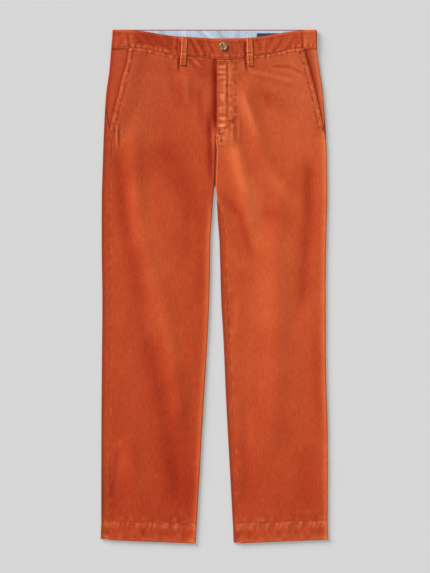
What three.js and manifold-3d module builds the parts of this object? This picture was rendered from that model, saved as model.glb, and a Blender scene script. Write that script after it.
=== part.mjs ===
// Corduroy trousers as a tailor cuts and sews them, laid flat on their back with the front up.
// Millimetres. +X is the wearer's left, +Y runs up to the waist, +Z is up from the surface.
// Depth is measured down the garment from the top edge of the back waistband.
import * as THREE from "three";
import { mergeVertices } from "three/addons/utils/BufferGeometryUtils.js";
import Module from "manifold-3d";

const { clamp, euclideanModulo, lerp, smoothstep } = THREE.MathUtils;

// Whole garment
const LENGTH = 1051;
const BAND_HEIGHT = 38;
const HEM_HEIGHT = 42;
const HEM_RISE = 8;
const HEM_INNER = 38;
const HEM_OUTER = 233;

// Walls and gaps
const CLOTH = 1.4;
const HEM_CLOTH = 2.3;
const BAND_CLOTH = 1.8;
const TRIM_CLOTH = 1;
const SEAM_GAP = 0.3;
const BAND_GAP = 0.6;
const FACING_GAP = 0.7;

// How it lies: half the height of a side fold, the room that the back loops take, the top of the band
const FOLD_RADIUS = 2.6;
const TURN = Math.PI * FOLD_RADIUS;
const LOOP_ROOM = 1.5;
const SWELL_REACH = 45;
const BAND_TOP = 8.3;
const LIFT_END = 95;
const DIP_END = 150;
const HEM_RISE_FROM = LENGTH - 150;

// Fly: the left front laps over the right one
const FLY_EDGE = 4.6;
const FLY_UNDERLAP = 9.4;
const FLY_LAP = 2.2;
const FLY_END = 206;
const FLY_BLEND = { from: 22, to: 60 };
const FLY_CLOSE = { from: FLY_END + 6, to: FLY_END + 30 };

// Slanted side pockets: the front's edge lies over the facing
const POCKET_END = 196;
const POCKET_UNDER = 14;
const POCKET_LAP = CLOTH + SEAM_GAP;
const POCKET_BLEND = { from: 16, to: 46 };
const POCKET_FADE = 28;

// Crotch: from here down the two legs part
const CROTCH = 321;
const SLIT_TOP = 224;
const SEAT_CURVE = { from: 40, to: 200 };
const BACK_UNDERLAP = 2;

// Belt loops, label, lining and button
const LOOP = { width: 12.5, cloth: 1.2, below: 12 };
const FRONT_LOOPS = [
  { side: "right", top: -60.3, foot: -64.4, length: 58 },
  { side: "left", top: 71.8, foot: 73.8, length: 58 },
];
const BACK_LOOPS = [
  { side: "right", x: -98 },
  { side: "center", x: 0 },
  { side: "left", x: 98 },
];
const LINING = { width: 370, top: 3, height: 27 };
const LABEL = { x: 112.5, width: 52, top: 7.2, height: 22 };
const BUTTON = { x: 18.3, depth: 34.6, radius: 8.5, thick: 3.2, rim: 1.6, dish: 0.9 };
const HOLE = { radius: 0.95, offset: 1.7 };

// The photo's outline: left and right edges, and the two edges of the slit and the gap between the legs
const OUTLINE = [
  { depth: 0, left: -208.2, right: 209.3 },
  { depth: 41, left: -211.8, right: 210.4 },
  { depth: 82, left: -215.2, right: 215.5 },
  { depth: 115, left: -219.7, right: 220.2 },
  { depth: 147, left: -223.0, right: 223.4 },
  { depth: 213, left: -226.5, right: 228.1 },
  { depth: 278, left: -228.8, right: 230.4 },
  { depth: 348, left: -230.7, right: 230.9 },
  { depth: 430, left: -230.9, right: 228.7 },
  { depth: 553, left: -229.6, right: 227.5 },
  { depth: 716, left: -230.8, right: 228.7 },
  { depth: 839, left: -231.6, right: 231.8 },
  { depth: 1003, left: -231.8, right: 231.8 },
  { depth: 1051, left: -232.9, right: 232.9 },
];
const LEGS = [
  { depth: 224, right: 2.7, left: 6.0 },
  { depth: 278, right: 1.2, left: 4.6 },
  { depth: 322, right: -0.7, left: 3.1 },
  { depth: 348, right: -2.8, left: 4.6 },
  { depth: 389, right: -5.6, left: 6.7 },
  { depth: 430, right: -8.1, left: 9.9 },
  { depth: 553, right: -10.5, left: 13.6 },
  { depth: 635, right: -14.0, left: 18.3 },
  { depth: 757, right: -21.8, left: 23.6 },
  { depth: 921, right: -30.8, left: 32.6 },
  { depth: 1051, right: -38.4, left: 39.4 },
];

// The front waistband dips between the hips: depth of its top edge and of its seam, across the front
const DIP = [
  { x: -173, top: 0, seam: 38 },
  { x: -144, top: 2, seam: 39.5 },
  { x: -112, top: 8, seam: 46 },
  { x: -81, top: 12.3, seam: 52.5 },
  { x: -30, top: 16.5, seam: 55.8 },
  { x: 5, top: 18.2, seam: 60 },
  { x: 40, top: 17.8, seam: 60.5 },
  { x: 62, top: 17.4, seam: 55.5 },
  { x: 95, top: 14, seam: 51.5 },
  { x: 131, top: 8, seam: 46.5 },
  { x: 158, top: 3, seam: 40 },
  { x: 185, top: 0, seam: 38 },
];

// Seams, by how far round the section they lie past the start of the fold: under nought on the top,
// over nought round the fold and below. A pocket's opening is the facing between front and back.
const SIDE_SEAM = {
  right: [
    { depth: 38, front: -34.5, opening: 46.1 },
    { depth: 61, front: -32.8, opening: 44.4 },
    { depth: 102, front: -25.9, opening: 37.5 },
    { depth: 133, front: -22.9, opening: 31 },
    { depth: 150, front: -19.6, opening: 24.1 },
    { depth: 168, front: -16, opening: 15 },
    { depth: 185, front: -13, opening: 8 },
    { depth: 196, front: -11, opening: 4 },
    { depth: 206, front: -9, opening: SEAM_GAP },
    { depth: 238, front: -14.4, opening: SEAM_GAP },
    { depth: 1051, front: -14.4, opening: SEAM_GAP },
  ],
  left: [
    { depth: 38, front: -24.7, opening: 36.3 },
    { depth: 86, front: -17.7, opening: 29.3 },
    { depth: 123, front: -12.8, opening: 24.4 },
    { depth: 150, front: -9, opening: 18 },
    { depth: 168, front: -6.6, opening: 12.6 },
    { depth: 185, front: -4.4, opening: 7 },
    { depth: 196, front: -3, opening: 3.4 },
    { depth: 206, front: -1.6, opening: SEAM_GAP },
    { depth: 235, front: 3.8, opening: SEAM_GAP },
    { depth: 262, front: 11, opening: SEAM_GAP },
    { depth: 300, front: 22.3, opening: SEAM_GAP },
    { depth: 1051, front: 22.3, opening: SEAM_GAP },
  ],
};
const INSEAM = {
  right: [
    { depth: 206, front: 0 },
    { depth: 240, front: 4.5 },
    { depth: 326, front: 4.5 },
    { depth: 400, front: 18.3 },
    { depth: 1051, front: 18.3 },
  ],
  left: [
    { depth: 212, front: 0 },
    { depth: 240, front: 4.5 },
    { depth: 326, front: 4.5 },
    { depth: 400, front: -10.1 },
    { depth: 1051, front: -10.1 },
  ],
};

// How far the upper layer stands above its side folds, or sinks below them to lie on the back
const SWELL = [
  { depth: 38, height: 0.9 },
  { depth: 80, height: 0.7 },
  { depth: 230, height: -0.7 },
  { depth: 930, height: -0.7 },
  { depth: 1009, height: 0.5 },
  { depth: 1051, height: 0.5 },
];

// The largest folds of the fronts: a soft ridge, or with a negative height a trough, along each line
const FOLDS = [
  { x1: -212, depth1: 225, x2: -189, depth2: 305, width: 13, height: -1.0 },
  { x1: -189, depth1: 305, x2: -173, depth2: 446, width: 14, height: -1.2 },
  { x1: -167, depth1: 200, x2: -152, depth2: 414, width: 17, height: 1.6 },
  { x1: -152, depth1: 414, x2: -97, depth2: 594, width: 20, height: 2.0 },
  { x1: -97, depth1: 594, x2: -66, depth2: 800, width: 18, height: 1.6 },
  { x1: -124, depth1: 246, x2: -54, depth2: 354, width: 15, height: -1.2 },
  { x1: -54, depth1: 354, x2: -44, depth2: 467, width: 13, height: -1.0 },
  { x1: -152, depth1: 565, x2: -103, depth2: 739, width: 15, height: -1.0 },
  { x1: -103, depth1: 739, x2: -70, depth2: 956, width: 16, height: -1.2 },
  { x1: -173, depth1: 830, x2: -165, depth2: 960, width: 18, height: 1.3 },
  { x1: 60, depth1: 121, x2: 92, depth2: 240, width: 15, height: 1.8 },
  { x1: 92, depth1: 240, x2: 153, depth2: 338, width: 16, height: 1.5 },
  { x1: 24, depth1: 180, x2: 50, depth2: 250, width: 12, height: 1.4 },
  { x1: 50, depth1: 250, x2: 77, depth2: 414, width: 14, height: 1.5 },
  { x1: 18, depth1: 350, x2: 65, depth2: 467, width: 12, height: -1.2 },
  { x1: 202, depth1: 282, x2: 198, depth2: 400, width: 13, height: -1.1 },
  { x1: 198, depth1: 400, x2: 179, depth2: 594, width: 15, height: -1.2 },
  { x1: 120, depth1: 400, x2: 128, depth2: 640, width: 26, height: 1.7 },
  { x1: 128, depth1: 640, x2: 118, depth2: 860, width: 24, height: 1.2 },
  { x1: 64, depth1: 770, x2: 62, depth2: 980, width: 14, height: -1.2 },
];
const FOLD_TAPER = 50;

// Steps down a leg up to each depth, and round each piece: on its level stretch and over a fold
const ROWS = [
  { until: 150, steps: 6 },
  { until: 196, steps: 4 },
  { until: 236, steps: 4 },
  { until: 314, steps: 2 },
  { until: 329, steps: 3 },
  { until: 400, steps: 3 },
  { until: LENGTH - HEM_HEIGHT, steps: 11 },
  { until: LENGTH - HEM_HEIGHT + 3, steps: 1 },
  { until: LENGTH, steps: 1 },
];
const STEPS = { front: 11, back: 4, facing: 3, band: 12, bandRows: 3, fold: 4, loop: 9 };
const FOLD_MARGIN = 6;
const EDGE_MARGIN = 1;

const ORANGE = 0xbc4d2d;
const PALE_BLUE = 0xbacbd9;
const NAVY = 0x1f2c4f;
const HORN = 0x8a7350;

function cloth(name, color, roughness) {
  return new THREE.MeshStandardMaterial({ name, color, roughness, metalness: 0 });
}

// A smooth curve through one column of a table, which never swings past the rows beside it.
function curve(table, column, by = "depth") {
  const at = table.map((row) => row[by]);
  const value = table.map((row) => row[column]);
  const rise = at.slice(1).map((x, i) => (value[i + 1] - value[i]) / (x - at[i]));
  const slope = at.map((_, i) => {
    const before = rise[Math.max(i - 1, 0)];
    const after = rise[Math.min(i, rise.length - 1)];
    return before * after > 0 ? (2 * before * after) / (before + after) : 0;
  });
  return (place) => {
    const x = clamp(place, at[0], at[at.length - 1]);
    const next = at.findIndex((edge, i) => i > 0 && x <= edge);
    const i = next - 1;
    const step = at[next] - at[i];
    const t = (x - at[i]) / step;
    const rest = 1 - t;
    const ends = value[i] * rest * rest * (1 + 2 * t) + value[next] * t * t * (3 - 2 * t);
    return ends + step * t * rest * (slope[i] * rest - slope[next] * t);
  };
}

const outline = { left: curve(OUTLINE, "left"), right: curve(OUTLINE, "right") };
const innerEdge = { right: curve(LEGS, "right"), left: curve(LEGS, "left") };
const swell = curve(SWELL, "height");
const dipTop = curve(DIP, "top", "x");
const dipSeam = curve(DIP, "seam", "x");
const side = {
  right: { front: curve(SIDE_SEAM.right, "front"), opening: curve(SIDE_SEAM.right, "opening") },
  left: { front: curve(SIDE_SEAM.left, "front"), opening: curve(SIDE_SEAM.left, "opening") },
};
const inseam = { right: curve(INSEAM.right, "front"), left: curve(INSEAM.left, "front") };

// The seat seam runs down the middle of the back, to the foot of the slit.
function seatSeam(depth) {
  const middle = (innerEdge.right(depth) + innerEdge.left(depth)) / 2;
  return lerp(0, middle, smoothstep(depth, SEAT_CURVE.from, SEAT_CURVE.to));
}

// The back is lifted off the surface by its loops, close to the waist only.
function lift(depth) {
  return LOOP_ROOM * (1 - smoothstep(depth, BAND_HEIGHT + 2, LIFT_END));
}

function foldHeight(x, depth) {
  let total = 0;
  for (const fold of FOLDS) {
    const run = new THREE.Vector2(fold.x2 - fold.x1, fold.depth2 - fold.depth1);
    const reach = new THREE.Vector2(x - fold.x1, depth - fold.depth1);
    const length = run.length();
    const along = reach.dot(run) / length;
    const across = reach.cross(run) / length / fold.width;
    const half = FOLD_TAPER / 2;
    const ends = smoothstep(along, -half, half) * (1 - smoothstep(along, length - half, length + half));
    total += fold.height * ends * Math.exp(-across * across);
  }
  return total;
}

// Height of the upper layer between its folds, common to the fronts, the facings and the back's strips.
function skin(x, depth) {
  const outer = Math.min(x - outline.left(depth), outline.right(depth) - x) - FOLD_RADIUS;
  const onRight = x < (innerEdge.right(depth) + innerEdge.left(depth)) / 2;
  const inner = onRight ? innerEdge.right(depth) - x : x - innerEdge.left(depth);
  const parted = smoothstep(depth, SLIT_TOP - 10, SLIT_TOP + 16);
  const nearest = lerp(outer, Math.min(outer, inner - FOLD_RADIUS), parted);
  const free = smoothstep(nearest, 0, SWELL_REACH);
  const hem = 1 - 0.5 * smoothstep(depth, LENGTH - 3 * HEM_HEIGHT, LENGTH - HEM_HEIGHT);
  return lift(depth) + 2 * FOLD_RADIUS + free * (swell(depth) + hem * foldHeight(x, depth));
}

// The left front and waistband rise over the right ones at the fly.
function flyLap(x) {
  return 1 - smoothstep(x, FLY_BLEND.from, FLY_BLEND.to);
}

// A front rises over the facing beside the pocket's edge.
function pocketLap(fromEdge, depth) {
  const across = 1 - smoothstep(fromEdge, POCKET_BLEND.from, POCKET_BLEND.to);
  return POCKET_LAP * across * (1 - smoothstep(depth, POCKET_END, POCKET_END + POCKET_FADE));
}

// A closed section: flat below, round at both folds, and free in height above.
function section(left, right, base, top) {
  const start = left + FOLD_RADIUS;
  const end = right - FOLD_RADIUS;
  return { start, end, base, top, around: 2 * (end - start + TURN) };
}

// A point of a section, found by its place round it, with the way that faces out of the cloth.
function onSection(cut, place) {
  const flat = cut.end - cut.start;
  const rest = euclideanModulo(place - cut.start, cut.around);
  if (rest <= flat) {
    const x = cut.start + rest;
    const slope = cut.top(x + 0.5) - cut.top(x - 0.5);
    const length = Math.hypot(slope, 1);
    return { x, z: cut.top(x), outX: -slope / length, outZ: 1 / length, above: true };
  }
  if (rest >= flat + TURN && rest <= 2 * flat + TURN) {
    return { x: cut.end - (rest - flat - TURN), z: cut.base, outX: 0, outZ: -1, above: false };
  }
  const onRight = rest < flat + TURN;
  const angle = (onRight ? rest - flat : cut.around - rest) / FOLD_RADIUS;
  const hinge = onRight ? cut.end : cut.start;
  const sign = onRight ? 1 : -1;
  const half = (cut.top(hinge) - cut.base) / 2;
  return {
    x: hinge + sign * FOLD_RADIUS * Math.sin(angle),
    z: cut.base + half + half * Math.cos(angle),
    outX: sign * Math.sin(angle),
    outZ: Math.cos(angle),
    above: angle < Math.PI / 2,
  };
}

// Even steps along each stretch in turn.
function divide(from, stretches) {
  const places = [from];
  for (const { until, steps } of stretches) {
    const begin = places[places.length - 1];
    for (let i = 1; i <= steps; i++) {
      places.push(lerp(begin, until, i / steps));
    }
  }
  return places;
}

// Places round a section from low to high, where either end may go over a fold that begins there.
function spread({ low, high, lowFold, highFold, level }) {
  const first = lowFold === undefined ? low : Math.max(lowFold, low + FOLD_MARGIN);
  const last = highFold === undefined ? high : Math.min(highFold, high - FOLD_MARGIN);
  const overLow = [
    { until: Math.max(first - TURN, low + EDGE_MARGIN), steps: 1 },
    { until: first, steps: STEPS.fold },
  ];
  const overHigh = [
    { until: Math.min(last + TURN, high - EDGE_MARGIN), steps: STEPS.fold },
    { until: high, steps: 1 },
  ];
  return divide(low, [
    ...(lowFold === undefined ? [] : overLow),
    { until: last, steps: level },
    ...(highFold === undefined ? [] : overHigh),
  ]);
}

// One closed wall from a grid of outer points and the inner points behind them.
function wall(outer, inner) {
  const rows = outer.length;
  const columns = outer[0].length;
  const position = [...outer.flat(), ...inner.flat()].flatMap((point) => point.toArray());
  const index = [];
  const at = (row, column, layer) => layer * rows * columns + row * columns + column;
  const quad = (a, b, c, d) => index.push(a, b, c, a, c, d);
  for (let r = 0; r < rows - 1; r++) {
    for (let c = 0; c < columns - 1; c++) {
      quad(at(r, c, 0), at(r + 1, c, 0), at(r + 1, c + 1, 0), at(r, c + 1, 0));
      quad(at(r, c, 1), at(r, c + 1, 1), at(r + 1, c + 1, 1), at(r + 1, c, 1));
    }
    quad(at(r, 0, 0), at(r, 0, 1), at(r + 1, 0, 1), at(r + 1, 0, 0));
    const last = columns - 1;
    quad(at(r, last, 0), at(r + 1, last, 0), at(r + 1, last, 1), at(r, last, 1));
  }
  for (let c = 0; c < columns - 1; c++) {
    quad(at(0, c, 0), at(0, c + 1, 0), at(0, c + 1, 1), at(0, c, 1));
    quad(at(rows - 1, c, 0), at(rows - 1, c, 1), at(rows - 1, c + 1, 1), at(rows - 1, c + 1, 0));
  }
  const geometry = new THREE.BufferGeometry();
  geometry.setAttribute("position", new THREE.Float32BufferAttribute(position, 3));
  geometry.setIndex(index);
  geometry.computeVertexNormals();
  return geometry;
}

function place3(x, depth, z) {
  return new THREE.Vector3(x, LENGTH / 2 - depth, z);
}

// A cut piece of cloth: at each depth it runs round the section from its low edge to its high edge.
function panel(spec) {
  const outer = [];
  const inner = [];
  for (const depth of spec.depths) {
    const cut = spec.section(depth);
    const points = spec.places(depth, cut).map((place) => onSection(cut, place));
    const down = (point) => (point.above ? spec.warp(point.x, depth) : spec.warpBelow(point.x, depth));
    const thick = spec.thickness(depth);
    outer.push(points.map((p) => place3(p.x, down(p), p.z)));
    inner.push(points.map((p) => place3(p.x - p.outX * thick, down(p), p.z - p.outZ * thick)));
  }
  return wall(outer, inner);
}

// Hems rise a little from the inner to the outer edge of each leg.
function hemDepth(x, depth) {
  const out = clamp((Math.abs(x) - HEM_INNER) / (HEM_OUTER - HEM_INNER), 0, 1);
  return depth - HEM_RISE * out * smoothstep(depth, HEM_RISE_FROM, LENGTH);
}

// Rows near the waist follow the waistband's dipped seam on the front.
function frontDepth(x, depth) {
  const dip = dipSeam(x) - BAND_HEIGHT;
  return hemDepth(x, depth) + dip * (1 - smoothstep(depth, BAND_HEIGHT, DIP_END));
}

function legRows(last) {
  return divide(BAND_HEIGHT + BAND_GAP, ROWS.filter((stretch) => stretch.until <= last));
}

function legCloth(depth) {
  const hemTop = LENGTH - HEM_HEIGHT;
  return lerp(CLOTH, HEM_CLOTH, smoothstep(depth, hemTop, hemTop + 3));
}

const LEG = { depths: legRows(LENGTH), thickness: legCloth, warp: frontDepth, warpBelow: hemDepth };

const rightFront = {
  edge: (depth) => {
    const underFly = FLY_EDGE + FLY_UNDERLAP + FOLD_RADIUS;
    return lerp(underFly, innerEdge.right(depth), smoothstep(depth, POCKET_END, SLIT_TOP));
  },
  top: (x, depth) => {
    const pocket = outline.left(depth) + FOLD_RADIUS - side.right.front(depth);
    return skin(x, depth) + pocketLap(x - pocket, depth);
  },
};

const leftFront = {
  edge: (depth) => {
    const open = smoothstep(depth, FLY_CLOSE.from, FLY_CLOSE.to);
    return lerp(FLY_EDGE - FOLD_RADIUS, innerEdge.left(depth), open);
  },
  top: (x, depth) => {
    const pocket = outline.right(depth) - FOLD_RADIUS + side.left.front(depth);
    const fly = FLY_LAP * flyLap(x) * (1 - smoothstep(depth, FLY_CLOSE.from, FLY_CLOSE.to));
    return skin(x, depth) + pocketLap(pocket - x, depth) + fly;
  },
};

function frontRight() {
  return panel({
    ...LEG,
    section: (depth) =>
      section(outline.left(depth), rightFront.edge(depth), lift(depth), (x) =>
        rightFront.top(x, frontDepth(x, depth))),
    places: (depth, cut) =>
      spread({
        low: cut.start - side.right.front(depth),
        high: cut.end + inseam.right(depth),
        highFold: cut.end,
        level: STEPS.front,
      }),
  });
}

function frontLeft() {
  return panel({
    ...LEG,
    section: (depth) =>
      section(leftFront.edge(depth), outline.right(depth), lift(depth), (x) =>
        leftFront.top(x, frontDepth(x, depth))),
    places: (depth, cut) =>
      spread({
        low: cut.start - inseam.left(depth),
        high: cut.end + side.left.front(depth),
        lowFold: cut.start,
        highFold: cut.end,
        level: STEPS.front,
      }),
  });
}

// The backs meet at the seat seam, flat below the slit, and curl up to the inseams under the crotch.
function backInner(depth, sideName) {
  const sign = sideName === "right" ? 1 : -1;
  const parted = smoothstep(depth, CROTCH - 5, CROTCH + 5);
  const pastSeam = seatSeam(depth) + sign * (FOLD_RADIUS + BACK_UNDERLAP);
  const seam = inseam[sideName](depth) + lerp(2 * SEAM_GAP, SEAM_GAP, smoothstep(depth, 350, 400));
  return {
    edge: lerp(pastSeam, innerEdge[sideName](depth), parted),
    seam: lerp(TURN + BACK_UNDERLAP + SEAM_GAP / 2, seam, parted),
  };
}

function backRight() {
  return panel({
    ...LEG,
    section: (depth) =>
      section(outline.left(depth), backInner(depth, "right").edge, lift(depth), (x) =>
        skin(x, hemDepth(x, depth))),
    places: (depth, cut) =>
      spread({
        low: cut.end + backInner(depth, "right").seam - cut.around,
        high: cut.start - side.right.front(depth) - side.right.opening(depth),
        lowFold: cut.end + TURN - cut.around,
        highFold: cut.start - TURN,
        level: STEPS.back,
      }),
  });
}

function backLeft() {
  return panel({
    ...LEG,
    section: (depth) =>
      section(backInner(depth, "left").edge, outline.right(depth), lift(depth), (x) =>
        skin(x, hemDepth(x, depth))),
    places: (depth, cut) =>
      spread({
        low: cut.end + side.left.front(depth) + side.left.opening(depth),
        high: cut.start - backInner(depth, "left").seam + cut.around,
        lowFold: cut.end + TURN,
        highFold: cut.start - TURN + cut.around,
        level: STEPS.back,
      }),
  });
}

function pocketFacing(sideName) {
  const seam = side[sideName];
  const onRight = sideName === "right";
  const past = (depth) => seam.front(depth) + seam.opening(depth) - FACING_GAP;
  return panel({
    ...LEG,
    depths: legRows(POCKET_END),
    section: (depth) =>
      section(outline.left(depth), outline.right(depth), lift(depth), (x) =>
        skin(x, frontDepth(x, depth))),
    places: (depth, cut) =>
      spread({
        low: onRight ? cut.start - past(depth) : cut.end + seam.front(depth) - POCKET_UNDER,
        high: onRight ? cut.start - seam.front(depth) + POCKET_UNDER : cut.end + past(depth),
        lowFold: onRight ? cut.start : undefined,
        highFold: onRight ? undefined : cut.end,
        level: STEPS.facing,
      }),
  });
}

function bandTop(x, lapped) {
  return BAND_TOP + (lapped ? (BAND_CLOTH + SEAM_GAP) * flyLap(x) : 0);
}

function waistband(sideName) {
  const onRight = sideName === "right";
  const acrossBack = (cut) => TURN + (cut.end - cut.start) / 2 - SEAM_GAP / 2;
  const fromRight = (cut) =>
    divide(cut.start - acrossBack(cut), [
      { until: cut.start - TURN, steps: STEPS.back },
      { until: cut.start, steps: STEPS.fold },
      { until: FLY_EDGE + FLY_UNDERLAP + 2, steps: STEPS.band },
    ]);
  const fromLeft = (cut) =>
    divide(FLY_EDGE - CLOTH, [
      { until: cut.end, steps: STEPS.band },
      { until: cut.end + TURN, steps: STEPS.fold },
      { until: cut.end + acrossBack(cut), steps: STEPS.back },
    ]);
  return panel({
    depths: divide(0, [{ until: BAND_HEIGHT, steps: STEPS.bandRows }]),
    thickness: () => BAND_CLOTH,
    warp: (x, depth) => lerp(dipTop(x), dipSeam(x), depth / BAND_HEIGHT),
    warpBelow: (x, depth) => depth,
    section: (depth) =>
      section(outline.left(depth), outline.right(depth), LOOP_ROOM, (x) => bandTop(x, !onRight)),
    places: (depth, cut) => (onRight ? fromRight(cut) : fromLeft(cut)),
  });
}

// A front loop is sewn into the waistband's top edge and comes down over its seam onto the front.
function frontLoop(loop) {
  const lapped = loop.side === "left";
  const front = lapped ? leftFront : rightFront;
  const outer = [];
  const inner = [];
  for (let row = 0; row <= STEPS.loop; row++) {
    const along = row / STEPS.loop;
    const middle = lerp(loop.top, loop.foot, along);
    const depth = dipTop(loop.top) + loop.length * along;
    const across = [-0.5, 0.5].map((half) => middle + half * LOOP.width);
    const seam = dipSeam(middle);
    const past = smoothstep(depth, seam + 1, seam + LOOP.below);
    const under = (x) => SEAM_GAP + lerp(bandTop(x, lapped), front.top(x, depth), past);
    outer.push(across.map((x) => place3(x, depth, under(x) + LOOP.cloth)));
    inner.push(across.map((x) => place3(x, depth, under(x))));
  }
  return wall(outer, inner);
}

function slab(width, height, thick) {
  return new THREE.BoxGeometry(width, height, thick);
}

const manifold = await Module();
manifold.setup();

function toSolid(geometry) {
  const bare = geometry.clone();
  bare.deleteAttribute("normal");
  bare.deleteAttribute("uv");
  const merged = mergeVertices(bare);
  return new manifold.Manifold(
    new manifold.Mesh({
      numProp: 3,
      vertProperties: merged.attributes.position.array,
      triVerts: new Uint32Array(merged.index.array),
    }),
  );
}

function toGeometry(solid) {
  const mesh = solid.getMesh();
  const geometry = new THREE.BufferGeometry();
  geometry.setAttribute("position", new THREE.BufferAttribute(mesh.vertProperties, 3));
  geometry.setIndex(new THREE.BufferAttribute(mesh.triVerts, 1));
  geometry.computeVertexNormals();
  return geometry;
}

// The button is turned, with a raised rim round a dish, and has four sewing holes.
function button() {
  const { radius, thick, rim, dish } = BUTTON;
  const profile = [
    [0, 0],
    [radius - 1, 0],
    [radius, 1],
    [radius, thick - 0.8],
    [radius - 0.8, thick],
    [radius - rim, thick],
    [radius - rim - 1, thick - dish],
    [0, thick - dish],
  ].map(([x, y]) => new THREE.Vector2(x, y));
  const turned = new THREE.LatheGeometry(profile, 32).rotateX(Math.PI / 2);
  let solid = toSolid(turned);
  for (const [x, y] of [[1, 1], [1, -1], [-1, 1], [-1, -1]]) {
    const drill = new THREE.CylinderGeometry(HOLE.radius, HOLE.radius, 3 * thick, 10).rotateX(Math.PI / 2);
    solid = solid.subtract(toSolid(drill.translate(x * HOLE.offset, y * HOLE.offset, 0)));
  }
  return toGeometry(solid);
}

const corduroy = cloth("corduroy", ORANGE, 0.95);
const chambray = cloth("chambray", PALE_BLUE, 0.9);
const woven = cloth("woven label", NAVY, 0.8);
const horn = cloth("horn", HORN, 0.4);

const trousers = new THREE.Group();

function add(name, geometry, material, x = 0, y = 0, z = 0) {
  const mesh = new THREE.Mesh(geometry, material);
  mesh.name = name;
  mesh.position.set(x, y, z);
  trousers.add(mesh);
}

add("front_right", frontRight(), corduroy);
add("front_left", frontLeft(), corduroy);
add("back_right", backRight(), corduroy);
add("back_left", backLeft(), corduroy);

for (const sideName of ["right", "left"]) {
  add(`pocket_facing_${sideName}`, pocketFacing(sideName), corduroy);
  add(`waistband_${sideName}`, waistband(sideName), corduroy);
}

for (const loop of FRONT_LOOPS) {
  add(`belt_loop_front_${loop.side}`, frontLoop(loop), corduroy);
}

const waistTop = LENGTH / 2;
const backLoopHeight = BAND_HEIGHT - 2;
for (const loop of BACK_LOOPS) {
  const y = waistTop - BAND_HEIGHT / 2;
  const geometry = slab(LOOP.width, backLoopHeight, LOOP.cloth);
  add(`belt_loop_back_${loop.side}`, geometry, corduroy, loop.x, y, LOOP.cloth / 2);
}

const liningBase = LOOP_ROOM + BAND_CLOTH + SEAM_GAP;
const liningY = waistTop - LINING.top - LINING.height / 2;
const lining = slab(LINING.width, LINING.height, TRIM_CLOTH);
add("waistband_lining", lining, chambray, 0, liningY, liningBase + TRIM_CLOTH / 2);

const labelBase = liningBase + TRIM_CLOTH + SEAM_GAP;
const labelY = waistTop - LABEL.top - LABEL.height / 2;
const label = slab(LABEL.width, LABEL.height, TRIM_CLOTH);
add("waist_label", label, woven, LABEL.x, labelY, labelBase + TRIM_CLOTH / 2);

const buttonBase = bandTop(BUTTON.x, true) + SEAM_GAP;
add("waist_button", button(), horn, BUTTON.x, waistTop - BUTTON.depth, buttonBase);

export default trousers;
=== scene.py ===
# %% [markdown]
# # Corduroy trousers, laid flat
# A pair of straight corduroy trousers lies on its back with the front up.
# The fixed frame holds every sewn piece as a plain wall of cloth at its real place and size.
# This lesson dresses each one: a finer shell on the same form, with seams, creases, puckers,
# stitches and a napped finish. Lengths in tables and formulas are millimetres. Depth is
# measured down the garment from the top edge of the back waistband.

# %% Load the frame
import math

import bmesh
import bpy
import numpy as np
from mathutils import Matrix, Vector


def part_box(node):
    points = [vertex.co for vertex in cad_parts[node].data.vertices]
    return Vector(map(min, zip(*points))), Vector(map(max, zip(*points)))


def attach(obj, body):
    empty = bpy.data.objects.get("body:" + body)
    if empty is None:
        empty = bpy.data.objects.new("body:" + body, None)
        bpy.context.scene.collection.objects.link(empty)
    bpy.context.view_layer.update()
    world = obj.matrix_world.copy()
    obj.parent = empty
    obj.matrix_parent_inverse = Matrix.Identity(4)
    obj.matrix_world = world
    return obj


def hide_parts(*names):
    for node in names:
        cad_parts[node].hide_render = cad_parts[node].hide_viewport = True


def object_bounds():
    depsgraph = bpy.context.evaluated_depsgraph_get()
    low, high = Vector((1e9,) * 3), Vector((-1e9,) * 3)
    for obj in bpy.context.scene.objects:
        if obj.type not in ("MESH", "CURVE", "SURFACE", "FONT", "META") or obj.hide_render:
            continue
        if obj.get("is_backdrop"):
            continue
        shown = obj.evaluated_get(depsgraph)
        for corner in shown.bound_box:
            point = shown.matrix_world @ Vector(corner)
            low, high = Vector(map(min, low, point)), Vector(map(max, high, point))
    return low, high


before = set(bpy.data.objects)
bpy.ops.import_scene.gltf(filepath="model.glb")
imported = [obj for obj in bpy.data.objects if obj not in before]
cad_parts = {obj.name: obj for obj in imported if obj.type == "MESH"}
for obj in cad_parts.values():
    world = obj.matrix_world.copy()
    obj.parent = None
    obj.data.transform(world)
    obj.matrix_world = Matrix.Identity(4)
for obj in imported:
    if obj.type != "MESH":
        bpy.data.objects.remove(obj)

MM = 0.001
cad_low, cad_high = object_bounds()
LENGTH = (cad_high.y - cad_low.y) / MM
print(f"frame: {len(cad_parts)} pieces, {LENGTH:.0f} mm long")

# %% [markdown]
# ## Floor, light and camera
# The garment is photographed from straight above, on a pale grey ground, with one soft light
# from the upper left. A long lens far away keeps the outline square. The sun lamp gives
# the whole floor the same light, and a wide angle makes its shadows soft. The board glows a
# little by itself, as a lit table does, which keeps the shadow beside the cloth pale.

# %% Camera
FIELD_HEIGHT = 1.173
CAMERA_HEIGHT = 5.0
VIEW_CENTRE = (0.0011, 0.0004)

camera = bpy.data.objects.new("camera", bpy.data.cameras.new("camera"))
bpy.context.scene.collection.objects.link(camera)
bpy.context.scene.camera = camera
camera.data.lens = camera.data.sensor_width * CAMERA_HEIGHT / FIELD_HEIGHT
camera.location = (*VIEW_CENTRE, CAMERA_HEIGHT)
print(f"camera: {camera.data.lens:.0f} mm lens, straight down")


# %% Colours and nodes
def paint(code):
    """An sRGB hex colour as a linear one for a shader."""
    channels = [int(code[i:i + 2], 16) / 255 for i in (1, 3, 5)]
    linear = [c / 12.92 if c <= 0.04045 else ((c + 0.055) / 1.055) ** 2.4 for c in channels]
    return (*linear, 1.0)


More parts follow.
